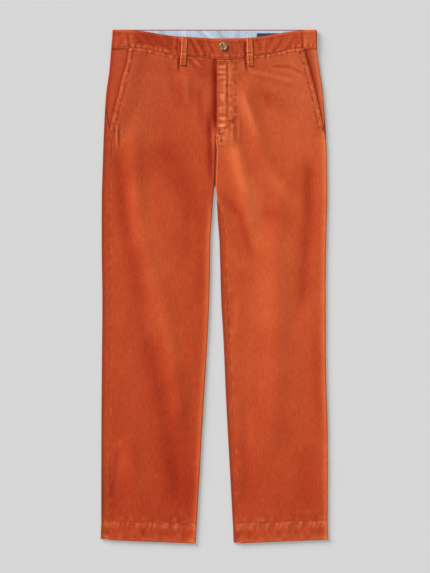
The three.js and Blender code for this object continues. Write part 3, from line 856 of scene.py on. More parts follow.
def groove(distance, along, seed, deep=0.35, pucker=0.3, pitch=4.5, reach=4.5):
    """A stitched line: a narrow groove, and puckers that fade on both sides."""
    return -deep * bell(distance, 1.2) + pucker * uneven(along, pitch, seed) * bell(distance, reach)


def raw_edge(distance):
    """Cloth turns under at a seam or an open edge."""
    return -0.35 * bell(distance, 1.0)


def side_seam(distance, depth, seed):
    """A pressed-open seam: a shallow line with faint puckers, nowhere quite the same."""
    line = -0.1 * bell(distance, 1.0) * (1 + uneven(depth, 13, seed))
    return line + 0.16 * uneven(depth, 6, seed + 1) * bell(distance - 2.4, 2.0)


print("first puckers of seed 1:", np.round(uneven(np.arange(4) * 4.5, 4.5, 1), 2))

# %% [markdown]
# ## The two fronts
# Each front is one cut piece from the waist seam to the hem. Its outer edge is the pocket mouth
# and then the side seam, and its inner edge is the fly and then the inseam. The right front
# lies under the left one at the fly. The relief is placed where the photograph has it:
# turned and stitched pocket mouths, the stitched curve of the fly, pulled cloth under the
# waistband and at the crotch, and a turned-up hem with a puckered stitch line.

# %% Rows of the leg
BAND_GAP = 0.6
WAIST_END = 46
HIP_END = 330
HIP_STEP = 2.2
LEG_STEP = 5.0
HEM_STEP = 1.8
HEM_CLOTH = 2.3


def even(low, high, step):
    return np.linspace(low, high, int(round((high - low) / step)) + 1)


HEM_TOP = LENGTH - HEM_HEIGHT
leg_rows = np.unique(np.concatenate([
    even(BAND_HEIGHT + BAND_GAP, WAIST_END, 1.0),
    even(WAIST_END, HIP_END, HIP_STEP),
    even(HIP_END, HEM_TOP - 4, LEG_STEP),
    even(HEM_TOP - 4, LENGTH, HEM_STEP),
]))


def leg_cloth(depth):
    return lerp(CLOTH, HEM_CLOTH, smoothstep(depth, HEM_TOP, HEM_TOP + 3))


def leg_soft(seed):
    """Cloth that has lain folded is never quite smooth."""
    return lambda place, depth: (
        0.14 * rumple(place, depth, 9, 18, seed) + 0.35 * rumple(place, depth, 26, 60, seed + 1)
    )


def leg_relief(place, depth, seed):
    """What every leg piece has: a puckered waist seam and a hem."""
    waist = 0.35 * bell(depth - BAND_HEIGHT - 3.2, 1.8) * (1 + 0.5 * uneven(place, 9, seed + 9))
    pulled = 0.45 * uneven(place, 5.5, seed) * bell(depth - BAND_HEIGHT - 4, 5)
    some = 0.4 + 0.6 * np.abs(uneven(place, 26, seed + 11))
    hem = groove(depth - HEM_TOP, place, seed + 1, deep=0.16, pucker=0) * some
    ending = 1 - smoothstep(depth, HEM_TOP + 8, HEM_TOP + 24)
    fading = smoothstep(depth, HEM_TOP, HEM_TOP + 2) * ending
    slant = place + 0.3 * (depth - HEM_TOP)
    rows = 0.24 * uneven(slant, 4.6, seed + 2) * some + 0.36 * uneven(slant, 11, seed + 10)
    below = rows * fading
    above = 0.28 * uneven(place, 9, seed + 3) * bell(depth - HEM_TOP + 5, 7)
    on_hem = plateau(depth, HEM_TOP + 4, LENGTH - 3, 3)
    turn_up = 0.4 * rumple(place, depth, 12, 15, seed + 4) * on_hem
    bottom = raw_edge(LENGTH - depth) * 0.8
    return waist + pulled + hem + below + above + turn_up + bottom


print(len(leg_rows), "rows down each leg")

# %% Creases of the fronts
CREASES = table(FOLD_COLUMNS, [
    (-199, 196, -200, 238, 2.6, 0.6),
    (-195, 196, -196, 236, 2.6, -0.5),
    (-195, 858, -212, 956, 9, -0.5),
    (110, 130, 112, 162, 9, -0.3),
    (120, 66, 153, 74, 4.5, -0.45),
    (153, 74, 185, 92, 4.5, -0.45),
    (77, 74, 163, 106, 7, 0.45),
    (34, 540, 33, 610, 8, -0.6),
    (-74, 44, -73, 68, 3.2, -0.8),
    (64, 46, 66, 66, 2.8, -0.7),
    (-40, 46, -28, 60, 4, 0.6),
    (-52, 44, -40, 62, 4, -0.5),
    (-90, 60, -84, 130, 12, -0.4),
    (-60, 84, -56, 150, 9, 0.5),
    (-30, 120, -26, 190, 8, -0.5),
])
CREASE_TAPER = 26.0
POCKET_STITCH = 9.0
MOUTH_CLOSE = (200, 212)
FLY_STITCH = 39.0
FLY_VALLEY = 21.5


def fly_line():
    """The stitched curve of the fly: straight down, then round to the edge."""
    turn_from, foot = 172.0, 203.0
    x = FLY_EDGE + FLY_STITCH
    round_part = [
        (FLY_EDGE + 4 + (FLY_STITCH - 4) * math.cos(a), turn_from + (foot - turn_from) * math.sin(a))
        for a in np.linspace(0, math.pi / 2, 10)
    ]
    return [(x, BAND_HEIGHT + 3), *round_part]


def pocket_relief(from_edge, depth, seed):
    """A pocket mouth: a turned edge, a padded border and a stitched line."""
    mouth = 1 - smoothstep(depth, *MOUTH_CLOSE)
    border = 0.3 * plateau(from_edge, 2.5, POCKET_STITCH - 1, 1.8)
    beads = 0.3 * rumple(from_edge, depth, 5, 8, seed) * bell(from_edge - POCKET_STITCH / 2, 5)
    stitch = groove(
        from_edge - POCKET_STITCH, depth, seed + 1, deep=0.2, pucker=0.35, pitch=5, reach=2.4)
    return mouth * (border + beads + stitch)


def right_front_relief(place, depth):
    from_edge = place - right_front_low(depth)
    to_edge = right_front_high(depth) - place
    return (
        leg_relief(place, depth, 11)
        + lerp(raw_edge(from_edge), side_seam(from_edge, depth, 23), smoothstep(depth, *MOUTH_CLOSE))
        + side_seam(to_edge, depth, 25) * smoothstep(depth, 300, 360)
        + pocket_relief(from_edge, depth, 21)
        + ridges(CREASES, place, depth, CREASE_TAPER)
    )


def left_front_relief(place, depth):
    from_edge = left_front_high(depth) - place
    to_edge = place - left_front_low(depth)
    curve_far, curve_along = near(fly_line(), place, depth)
    on_fly = 1 - smoothstep(depth, 196, 214)
    valley = -0.6 * bell(place - FLY_EDGE - FLY_VALLEY, 2.6) * plateau(depth, 44, 182, 6)
    valley = valley * (1 + 0.5 * uneven(depth, 12, 37))
    wrinkled = 0.5 * rumple(place, depth, 16, 7, 31) + 0.5 * rumple(place, depth, 9, 11, 36)
    strip = wrinkled * bell(place - FLY_EDGE - 11, 9) * on_fly
    second = 0.45 * rumple(place, depth, 11, 9, 32) * bell(place - FLY_EDGE - 30, 7) * on_fly
    tack = 0.8 * rumple(place, depth, 5, 6, 33) * plateau(place, 5, 19, 3) * plateau(depth, 204, 234, 4)
    bar = 0.6 * bell(depth - 185.5, 1.6) * plateau(place, 26, 37, 1.5)
    end = groove(depth - 201, place, 34, deep=0.8, pucker=0.2) * plateau(place, 6, 25, 2)
    pulled = 0.4 * (bell(place - 36, 2.6) + 0.8 * bell(place - 49, 3.2)) * plateau(depth, 190, 226, 16)
    return (
        leg_relief(place, depth, 41)
        + lerp(raw_edge(from_edge), side_seam(from_edge, depth, 53), smoothstep(depth, *MOUTH_CLOSE))
        + lerp(raw_edge(to_edge), side_seam(to_edge, depth, 55), smoothstep(depth, 330, 350))
        + pocket_relief(from_edge, depth, 51)
        + groove(curve_far, curve_along, 35, deep=0.2, pucker=0.35, pitch=7)
        + ridges(CREASES, place, depth, CREASE_TAPER)
        + valley + strip + second + tack + bar + end + pulled
    )


print("fly curve:", len(fly_line()), "points")


# %% Nap, and painted light and shade, of the fronts
# Where the pile was smoothed one way the cloth looks lighter, and the other way darker. Many rows
# also paint the light and shade of the large folds under them, and a few paint shadows.
NAP_AND_SHADE = table(FOLD_COLUMNS, [
    # Painted shadow beside the fly's edge, and a painted highlight beside the slit
    (1, 44, 2, 200, 6, -0.45),
    (-5, 184, -3, 240, 2, 0.28),
    (57, 124, 78, 192, 4, 0.14),
    (40, 210, 48, 300, 22, 0.08),
    (150, 180, 160, 300, 36, 0.07),
    (-157, 310, -111, 532, 28, 0.15),
    (-111, 532, -76, 690, 26, 0.12),
    (-198, 250, -178, 409, 16, -0.16),
    (-178, 409, -150, 560, 16, -0.14),
    (-112, 236, -56, 330, 24, -0.15),
    (-56, 330, -40, 392, 20, -0.16),
    (-34, 410, -28, 556, 15, -0.10),
    (-134, 630, -92, 820, 30, -0.13),
    (-92, 820, -64, 968, 34, -0.17),
    # Painted shadows beside the two front belt loops, and painted shade left of the fly
    (-70, 24, -74, 68, 2.4, -0.5),
    (62, 24, 65, 70, 2.4, -0.5),
    (-26, 44, -22, 96, 20, -0.13),
    (-166, 880, -150, 960, 20, 0.07),
    (-211, 915, -210, 985, 9, -0.12),
    (-160, 190, -150, 250, 30, 0.08),
    (-76, 110, -66, 150, 16, -0.09),
    (-44, 112, -38, 152, 12, -0.08),
    # Painted shade beside the slit
    (-11, 170, -8, 300, 8, -0.24),
    (47, 128, 94, 228, 10, 0.18),
    (14, 204, 52, 290, 17, 0.20),
    (52, 290, 78, 350, 18, 0.28),
    (78, 350, 88, 446, 15, 0.22),
    (106, 296, 166, 350, 14, 0.16),
    (136, 425, 108, 600, 40, 0.12),
    (14, 336, 52, 380, 10, -0.20),
    (52, 380, 74, 466, 10, -0.20),
    (190, 270, 196, 392, 15, -0.22),
    (196, 392, 180, 560, 16, -0.18),
    (92, 122, 136, 154, 14, -0.13),
    (100, 372, 156, 390, 13, -0.10),
    (206, 620, 214, 780, 12, -0.11),
    (64, 850, 74, 968, 16, -0.07),
    (188, 860, 184, 968, 24, -0.10),
])


def rim_sheen(place, fold):
    """A painted sheen, lighter along a fold that runs down the wearer's left."""
    return 0.34 * bell(place - fold, 7)


def rim_shade(place, fold):
    """Painted shade, dark brown, on a fold down the wearer's right."""
    return -0.75 * bell(place - fold, 6)


def hem_light_and_shade(depth):
    """Painted light and shade on a hem: a light band under its stitches, a dull one, and a light lower
    edge.
    """
    below = depth - HEM_TOP
    return 0.1 * bell(below - 8, 7) - 0.03 * bell(below - 22, 6) + 0.05 * bell(below - 36, 9)


def shin_nap(depth):
    return -0.04 * smoothstep(depth, 860, 960) * (1 - smoothstep(depth, HEM_TOP - 3, HEM_TOP + 3))


def hip_rub(place, depth):
    """Hands and belts rub the hips and the waist, which turn a little more orange."""
    sides = 0.4 + 0.6 * smoothstep(np.abs(place), 60, 190)
    waist = 0.17 * sides * (1 - smoothstep(depth, 110, 290))
    return waist + 0.04 * smoothstep(depth, HEM_TOP, HEM_TOP + 8)


def right_front_nap_and_shade(place, depth):
    # The nap table, with its painted light and shade, and darker towards the hem
    nap_and_fold_shade = ridges(NAP_AND_SHADE, place, depth) - 0.09 * smoothstep(depth, 520, 1000)
    # Painted sheen along the inner fold
    inner = rim_sheen(place, right_front_edge(depth) - FOLD_RADIUS) * smoothstep(depth, 330, 380)
    cloudy = 0.03 * rumple(place, depth, 50, 90, 61) - 0.5 * hip_rub(place, depth)
    return nap_and_fold_shade + inner + cloudy + hem_light_and_shade(depth) + shin_nap(depth)


def left_front_nap_and_shade(place, depth):
    nap_and_fold_shade = 0.08 + ridges(NAP_AND_SHADE, place, depth) - 0.12 * smoothstep(depth, 620, 1000)
    # Painted sheen along the outer fold, and a lighter strip along the fly
    outer = rim_sheen(place, left_fold(depth))
    fly = 0.16 * plateau(place, 6, 24, 2) + 0.06 * plateau(place, 28, 40, 3)
    rim_sheen_and_fly = outer + fly * plateau(depth, 50, 204, 6)
    cloudy = 0.03 * rumple(place, depth, 50, 90, 62) - 0.5 * hip_rub(place, depth)
    return nap_and_fold_shade + rim_sheen_and_fly + cloudy + hem_light_and_shade(depth) + shin_nap(depth)


# The grain of each leg leans outwards with it, 27 mm in 700
LEG_LEAN = 27 / 700
LEVEL_STEPS = 96
LEG_PIECE = {"thick": leg_cloth, "base": lift, "warp_below": hem_depth}

right_front = cut_piece("right_front_cloth", {
    **LEG_PIECE, "depths": leg_rows, "warp": front_depth, "lean": -LEG_LEAN,
    "left": edge_left, "right": right_front_edge, "top": right_front_top,
    "nap_and_shade": right_front_nap_and_shade, "rub_and_shade": hip_rub, "relief": right_front_relief, "soft": leg_soft(15),
    "places": lambda depth: spread(
        right_front_low(depth), right_front_high(depth), LEVEL_STEPS,
        high_fold=right_front_edge(depth) - FOLD_RADIUS,
    ),
})
left_front = cut_piece("left_front_cloth", {
    **LEG_PIECE, "depths": leg_rows, "warp": front_depth, "lean": LEG_LEAN,
    "left": left_front_edge, "right": edge_right, "top": left_front_top,
    "nap_and_shade": left_front_nap_and_shade, "rub_and_shade": hip_rub, "relief": left_front_relief, "soft": leg_soft(45),
    "places": lambda depth: spread(
        left_front_low(depth), left_front_high(depth), LEVEL_STEPS,
        low_fold=left_front_edge(depth) + FOLD_RADIUS, high_fold=left_fold(depth),
    ),
})

# %% [markdown]
# ## The two backs and the pocket facings
# A back lies under its front, comes round the side fold, and shows as a narrow strip beside the
# side seam or the inseam. Over its fold down the wearer's right it gets painted shade, dark brown.
# A facing is the plain cloth that shows inside a slanted pocket, pressed down by the front's
# edge, with a painted shadow along that edge.


# %% Backs
BACK_UNDERLAP = 2
BACK_STEPS = 60


def parted(depth):
    return smoothstep(depth, CROTCH - 5, CROTCH + 5)


def right_back_edge(depth):
    return lerp(seat_seam(depth) + FOLD_RADIUS + BACK_UNDERLAP, inner_right(depth), parted(depth))


def left_back_edge(depth):
    return lerp(seat_seam(depth) - FOLD_RADIUS - BACK_UNDERLAP, inner_left(depth), parted(depth))


def back_seam(inseam, depth):
    seam = inseam(depth) + lerp(2 * SEAM_GAP, CLOSED, smoothstep(depth, 326, 340))
    return lerp(TURN + BACK_UNDERLAP + SEAM_GAP / 2, seam, parted(depth))


def right_round(depth):
    """How far it is all round the wearer's right leg."""
    return 2 * (right_back_edge(depth) - edge_left(depth) - 2 * FOLD_RADIUS + TURN)


def left_round(depth):
    return 2 * (edge_right(depth) - left_back_edge(depth) - 2 * FOLD_RADIUS + TURN)


def right_back_low(depth):
    seam = right_back_edge(depth) - FOLD_RADIUS + back_seam(inseam_right, depth)
    return seam - right_round(depth)


def right_back_high(depth):
    return right_front_low(depth) - opening_right(depth)


def left_back_low(depth):
    return left_front_high(depth) + opening_left(depth)


def left_back_high(depth):
    seam = left_back_edge(depth) + FOLD_RADIUS - back_seam(inseam_left, depth)
    return seam + left_round(depth)


def back_relief(low, high, seed):
    def relief(place, depth):
        low_seam = side_seam(place - low(depth), depth, seed + 7)
        high_seam = side_seam(high(depth) - place, depth, seed + 8)
        return np.minimum(leg_relief(place, depth, seed), 0.25) + low_seam + high_seam
    return relief


def right_under(place, depth):
    """How far across the garment a place on the underside lies."""
    return 2 * right_fold(depth) - TURN - place


def left_under(place, depth):
    return 2 * left_fold(depth) + TURN - place


def pressed(under):
    """The floor flattens every ridge, so the folds of the front's other leg are faint troughs."""
    return lambda place, depth: (
        -0.16 * np.abs(ridges(FOLDS, -under(place, depth), depth)) * smoothstep(depth, 100, 160)
    )


def back_nap_and_shade(under):
    def nap_and_shade(place, depth):
        # The fronts' nap, with its painted light and shade, faintly on the underside too
        patches = 0.6 * ridges(NAP_AND_SHADE, -under(place, depth), depth) * smoothstep(depth, 240, 330)
        return patches + 0.7 * shin_nap(depth) + hem_light_and_shade(depth)
    return nap_and_shade


def right_turn(depth):
    """Half way round the fold at the wearer's right, where the outline lies."""
    return right_fold(depth) - TURN / 2


def right_back_shade_and_tone(place, depth):
    """Painted shade, dark brown, on the fold, and the strip that shows beside it is a little browner
    towards the hem.
    """
    fold = right_turn(depth)
    strip = smoothstep(place, fold - 12, fold) * (0.05 + 0.2 * plateau(depth, 905, 990, 50))
    return rim_shade(place, fold) - 0.04 - strip


def left_back_shade(place, depth):
    fold = left_back_edge(depth) + FOLD_RADIUS - TURN / 2 + left_round(depth)
    # Painted shade, dark brown, on the fold at the inseam
    return rim_shade(place, fold) - 0.04


right_back = cut_piece("right_back_cloth", {
    **LEG_PIECE, "depths": leg_rows[::2], "warp": hem_depth, "lean": -LEG_LEAN,
    "left": edge_left, "right": right_back_edge, "top": skin,
    "nap_and_shade": back_nap_and_shade(right_under), "rub_and_shade": right_back_shade_and_tone,
    "relief": back_relief(right_back_low, right_back_high, 71), "soft": pressed(right_under),
    "places": lambda depth: spread(
        right_back_low(depth), right_back_high(depth), BACK_STEPS,
        low_fold=right_back_edge(depth) - FOLD_RADIUS + TURN - right_round(depth),
        high_fold=right_fold(depth) - TURN, high_tail=12,
    ),
})
left_back = cut_piece("left_back_cloth", {
    **LEG_PIECE, "depths": leg_rows[::2], "warp": hem_depth, "lean": LEG_LEAN,
    "left": left_back_edge, "right": edge_right, "top": skin,
    "nap_and_shade": back_nap_and_shade(left_under), "rub_and_shade": left_back_shade,
    "relief": back_relief(left_back_low, left_back_high, 81), "soft": pressed(left_under),
    "places": lambda depth: spread(
        left_back_low(depth), left_back_high(depth), BACK_STEPS,
        low_fold=left_fold(depth) + TURN,
        high_fold=left_back_edge(depth) + FOLD_RADIUS - TURN + left_round(depth), high_tail=10,
    ),
})

# %% Pocket facings
FACING_GAP = 0.7
FACING_END = POCKET_END + 10
FACING_STEPS = 14
facing_rows = leg_rows[leg_rows <= FACING_END]


def facing_relief(place, depth):
    return 0.1 * uneven(place, 8, 92) * bell(depth - BAND_HEIGHT - 4, 5)


def facing_top(x, depth):
    """The facing sinks at its foot, where the front comes down on it."""
    return skin(x, depth) - 0.9 * smoothstep(depth, POCKET_END - 6, FACING_END)


def facing(name, low, high, low_fold, high_fold, nap_and_shade, rub_and_shade):
    return cut_piece(name, {
        **LEG_PIECE, "depths": facing_rows, "warp": front_depth,
        "left": edge_left, "right": edge_right, "top": facing_top,
        "nap_and_shade": nap_and_shade, "rub_and_shade": rub_and_shade, "relief": facing_relief, "soft": leg_soft(91),
        "places": lambda depth: spread(
            low(depth), high(depth), FACING_STEPS,
            low_fold=low_fold and low_fold(depth), high_fold=high_fold and high_fold(depth),
        ),
    })


right_facing = facing(
    "right_pocket_facing",
    lambda d: right_back_high(d) + FACING_GAP,
    lambda d: right_front_low(d) + POCKET_UNDER,
    right_fold, None,
    # Darker than the front, with a painted shadow along the front's edge
    lambda p, d: -0.16 - 0.22 * bell(p - right_front_low(d), 5),
    # Painted shade, dark brown, on the fold
    lambda p, d: 0.2 + 0.8 * rim_shade(p, right_turn(d)),
)
left_facing = facing(
    "left_pocket_facing",
    lambda d: left_front_high(d) - POCKET_UNDER,
    lambda d: left_back_low(d) - FACING_GAP,
    None, left_fold,
    # A painted sheen on the fold, darker than the front, and a painted shadow along the front's edge
    lambda p, d: rim_sheen(p, left_fold(d)) - 0.14 - 0.3 * bell(p - left_front_high(d), 7),
    lambda p, d: 0.2 + 0 * p * d,
)

# %% [markdown]
# ## Waistband
# Each half of the waistband is a folded strip from the centre front, round the side and to the
# centre back. On the front it dips, follows the body's curve, and is pulled into small creases
# by the loops and the button. Its lower seam is edge-stitched and puckered. The ribs of a
# waistband run along it, because the strip is cut along the cloth.

# %% Waistband halves
BAND_STITCH = 35.6
BAND_END = BAND_HEIGHT + 0.5
BAND_CREASES = table(FOLD_COLUMNS, [
    (-177, 10, -174, 40, 2.8, -1.1),
    (179, 6, 181, 40, 2.8, -1.0),
    (-75, 4, -77, 38, 3.6, -1.9),
    (-50, 4, -34, 34, 3.0, -1.0),
    (-43, 4, -26, 30, 2.8, 0.8),
    (-30, 8, -16, 34, 3.4, -0.9),
    (-20, 2, -8, 28, 3.2, 0.7),
    (-6, 18, 2, 36, 3.0, -0.8),
    (-128, 6, -104, 26, 5, -0.8),
    (-112, 4, -92, 20, 4, 0.6),
    (-152, 12, -132, 30, 5, 0.6),
    (-100, 22, -84, 36, 4, -0.7),
    (34, 6, 40, 30, 3.4, -0.7),
    (46, 4, 54, 28, 3.4, 0.5),
    (62, 8, 60, 34, 3.0, -0.9),
    (86, 4, 98, 30, 3.6, -0.8),
    (104, 8, 98, 32, 3.4, 0.6),
    (120, 4, 112, 24, 3.6, -0.7),
    (140, 8, 128, 34, 4, -0.7),
    (158, 4, 146, 32, 4, 0.6),
    (-196, 8, -188, 32, 4, -0.5),
])


def band_relief(seed):
    def relief(place, depth):
        top = raw_edge(depth) + 0.25 * bell(depth - 3.5, 2.5)
        broken = 0.45 + 0.4 * uneven(place, 14, seed + 3)
        lower = raw_edge(BAND_END - depth) * broken * (1 - 0.7 * smoothstep(np.abs(place), 160, 176))
        stitch = groove(depth - BAND_STITCH, place, seed, pucker=0.2)
        beads = 0.5 * uneven(place, 4.6, seed + 1) * bell(depth - 32.5, 3.6)
        return top + lower + stitch + beads + 0.55 * ridges(BAND_CREASES, place, depth, 14)
    return relief


def band_soft(seed):
    return lambda place, depth: (
        0.4 * rumple(place, depth, 17, 15, seed) + 0.22 * rumple(place, depth, 7, 9, seed + 1)
    )


def band_half(name, lapped, places, nap_and_shade, rub_and_shade, seed):
    return cut_piece(name, {
        "depths": even(0, BAND_END, 1.2), "thick": lambda depth: BAND_CLOTH + 0 * depth,
        "base": lambda depth: LOOP_ROOM + 0 * depth, "left": edge_left, "right": edge_right,
        "top": lambda x, depth: band_top(x, lapped), "crosswise": True,
        "warp": lambda x, depth: lerp(dip_top(x), dip_seam(x), depth / BAND_HEIGHT),
        "warp_below": lambda x, depth: depth + 0 * x, "nap_and_shade": nap_and_shade, "relief": band_relief(seed),
        "soft": band_soft(seed + 5), "rub_and_shade": rub_and_shade,
        "places": places,
    })


def across_back(depth):
    return TURN + (edge_right(depth) - edge_left(depth) - 2 * FOLD_RADIUS) / 2 - SEAM_GAP / 2


def right_band_places(depth):
    start = right_fold(depth)
    return divide(start - across_back(depth), [
        (start - TURN, 60), (start, FOLD_STEPS), (FLY_EDGE + FLY_UNDERLAP + 2 + 0 * depth, 130),
    ])


def left_band_places(depth):
    end = left_fold(depth)
    return divide(FLY_EDGE - CLOTH + 0 * depth, [
        (FLY_EDGE + 3, 5), (end, 120), (end + TURN, FOLD_STEPS), (end + across_back(depth), 60),
    ])


def right_band_nap_and_shade(place, depth):
    # Painted shade along the top edge at the back
    behind = -0.55 * smoothstep(-place, 208, 214) * (1 - smoothstep(depth, 0.5, 3))
    dark = -0.2 * plateau(place, -162, -80, 10) * (1 - smoothstep(depth, 24, 33))
    # Painted shadow beside the belt loop
    loop_shadow = -0.5 * bell(place + 70, 2.4) * smoothstep(depth, 4, 12)
    return -0.07 + behind + dark + loop_shadow - 0.12 * plateau(place, -52, -4, 8)


def left_band_nap_and_shade(place, depth):
    # Painted shade along the top edge at the back, a painted shadow beside the belt loop, and a painted
    # highlight near the fold
    behind = -0.55 * smoothstep(place, 208, 216) * (1 - smoothstep(depth, 0.5, 3))
    loop_shadow = -0.5 * bell(place - 62.5, 2.4) * smoothstep(depth, 4, 12)
    return -0.08 + behind + loop_shadow + 0.16 * plateau(place, 184, 206, 3)


def right_band_rub_and_shade(place, depth):
    # Painted shade, dark brown, on the fold at the wearer's right
    return 0.07 + 0.8 * rim_shade(place, right_turn(depth))


def left_band_rub(place, depth):
    return 0.07 + 0 * place * depth


right_band = band_half(
    "right_waistband_cloth", False, right_band_places, right_band_nap_and_shade, right_band_rub_and_shade, 101)
left_band = band_half(
    "left_waistband_cloth", True, left_band_places, left_band_nap_and_shade, left_band_rub, 111)

# %% [markdown]
# ## Belt loops, lining and label
# A loop is a narrow strip with both edges folded in, so its middle is slightly hollow between
# two stitched ridges. The front ones start at the waistband's top edge, lie over it, and end in
# a turned foot on the front. The lining shows above the dipped front, and the label lies on it.

# %% Belt loops
LOOP = {"width": 12.5, "cloth": 1.2, "below": 12.0, "length": 58.0}
# How far across each front loop's top and foot lie
FRONT_LOOPS = {"right": (-60.3, -64.4), "left": (71.8, 73.8)}
BACK_LOOPS = {"right": -98.0, "center": 0.0, "left": 98.0}


def flat_shell(name, x, down, z, thick, relief, nap_and_shade, material):
    """A small strip of cloth from grids of x, depth and underside height, in mm."""
    plain = np.stack(np.broadcast_arrays(x, LENGTH / 2 - down, z + thick), axis=2).astype(float)
    normal = grid_normals(plain)
    outer = plain + normal * relief[..., None]
    inner = plain - normal * thick
    attributes = {
        "across": plain[..., 0], "along": -plain[..., 1],
        "wear_and_shade": wear_and_cavity_shade(relief + 0 * plain[..., 0]), "nap_and_shade": nap_and_shade + 0 * plain[..., 0],
    }
    piece = shell(name, outer, inner, attributes, material)
    width = float(np.ptp(plain[..., 0][0]))
    length = float(np.linalg.norm(np.diff(plain[:, 0], axis=0), axis=1).sum())
    print(f"{name}: {width:.1f} by {length:.1f} mm")
    return {"piece": piece, "outer": outer, "normal": normal, "size": (width * MM, length * MM)}


def loop_relief(u, v, seed):
    """Across a loop: two soft ridges at its edges. Down it: a crease where it leaves the band."""
    edges = 0.3 * bell(np.abs(u) - 0.36, 0.12) - 0.7 * bell(np.abs(u) - 0.5, 0.06)
    foot = 0.45 * bell(v - 0.955, 0.03) - 0.5 * bell(v - 0.92, 0.015)
    crease = -0.45 * bell(v - 0.56, 0.02) + 0.3 * bell(v - 0.6, 0.03)
    return edges + foot + crease + 0.15 * uneven(v * LOOP["length"], 5, seed) * (1 - np.abs(u))


def front_loop(name, top, foot, front_top, lapped, seed):
    v = np.linspace(0, 1, 52)[:, None]
    u = np.linspace(-0.5, 0.5, 15)[None, :]
    x = lerp(top, foot, v) + u * LOOP["width"]
    down = dip_top(top) + LOOP["length"] * v + 0 * u
    seam = dip_seam(lerp(top, foot, v))
    over = smoothstep(down, seam + 1, seam + LOOP["below"])
    z = SEAM_GAP + lerp(band_top(x, lapped), front_top(x, down), over)
    return flat_shell(name, x, down, z, LOOP["cloth"], loop_relief(u, v, seed), 0.17, corduroy)


right_loop = front_loop(
    "right_front_belt_loop", *FRONT_LOOPS["right"], right_front_top, False, 121)
left_loop = front_loop("left_front_belt_loop", *FRONT_LOOPS["left"], left_front_top, True, 122)
back_loops = {}
for side_name, middle in BACK_LOOPS.items():
    low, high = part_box(f"belt_loop_back_{side_name}")
    v = np.linspace(0, 1, 20)[:, None]
    u = np.linspace(-0.5, 0.5, 9)[None, :]
    back_loops[side_name] = flat_shell(
        f"{side_name}_back_belt_loop", middle + u * LOOP["width"],
        LENGTH / 2 - lerp(high.y, low.y, v) / MM + 0 * u, 0 * u + 0 * v,
        LOOP["cloth"] - 0.1, 0.1 * bell(np.abs(u) - 0.36, 0.12) + 0 * v, 0.0, corduroy)

# %% Lining and label
LINING_CREASES = table(FOLD_COLUMNS, [
    (-110, 2, -96, 22, 5, -0.5),
    (-62, 3, -56, 24, 4, 0.45),
    (-34, 2, -12, 22, 3, -0.5),
    (-22, 2, 0, 22, 3, 0.5),
    (8, 2, 22, 24, 4, -0.5),
    (52, 2, 44, 24, 5, -0.4),
    (150, 3, 158, 24, 4, -0.3),
])


def strip_on(node_name, name, columns, rows, thick, relief, material, higher=0.0):
    """A flat strip of cloth in the place of one of the frame's slabs."""
    low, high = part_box(node_name)
    x = np.linspace(low.x, high.x, columns)[None, :] / MM
    down = LENGTH / 2 - np.linspace(high.y + higher * MM, low.y, rows)[:, None] / MM
    z = low.z / MM + 0 * x + 0 * down
    raised = relief(x, down)
    # The relief also paints light and shade into the lining's colour
    return flat_shell(name, x + 0 * down, down + 0 * x, z, thick, raised, 0.35 * raised, material)


def lining_relief(x, down):
    return ridges(LINING_CREASES, x, down, 8) + 0.16 * rumple(x, down, 13, 8, 134)


lining = strip_on(
    "waistband_lining", "blue_waistband_lining", 180, 18, 0.7, lining_relief, chambray, higher=1.3)


def label_relief(x, down):
    low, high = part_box("waist_label")
    inside = np.minimum(
        np.minimum(x - low.x / MM, high.x / MM - x),
        np.minimum(down - (LENGTH / 2 - high.y / MM), (LENGTH / 2 - low.y / MM) - down),
    )
    turned_in = -0.3 * bell(inside, 1.0) - 0.15 * bell(inside - 1.8, 0.5)
    return turned_in + 0.1 * rumple(x, down, 9, 8, 131)


label = strip_on("waist_label", "navy_waist_label", 60, 28, 0.8, label_relief, tape)

# %% [markdown]
# ## Button
# The waist button is turned from horn: a rounded rim, a shallow dish and four holes, sewn
# through in two bars of thread. A lathe profile gives the turned form, and a boolean drills it.

# %% Button
BUTTON_STEPS = 56
HOLE_RADIUS = 0.95
HOLE_OFFSET = 1.7
HOLE_STEPS = 14
button_low, button_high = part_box("waist_button")
button_middle = (button_low + button_high) / 2
button_base = button_low.z
PROFILE = [
    (0.0, 0.0), (7.3, 0.0), (8.1, 0.5), (8.5, 1.3), (8.5, 2.1), (8.2, 2.8), (7.6, 3.15),
    (7.0, 3.15), (6.3, 2.8), (5.6, 2.35), (4.6, 2.25), (0.0, 2.3),
]


def turned(profile, steps, name):
    """A closed solid of revolution from (radius, height) points that begin and end on the axis."""
    body = bmesh.new()
    rings = []
    for radius, height in profile[1:-1]:
        angles = [math.tau * i / steps for i in range(steps)]
        rings.append([
            body.verts.new((radius * MM * math.cos(a), radius * MM * math.sin(a), height * MM))
            for a in angles
        ])
    for lower, upper in zip(rings[:-1], rings[1:]):
        for i in range(steps):
            j = (i + 1) % steps
            body.faces.new((lower[i], lower[j], upper[j], upper[i]))
    body.faces.new(list(reversed(rings[0])))
    body.faces.new(rings[-1])
    made = bpy.data.meshes.new(name)
    body.to_mesh(made)
    body.free()
    piece = bpy.data.objects.new(name, made)
    bpy.context.scene.collection.objects.link(piece)
    return piece


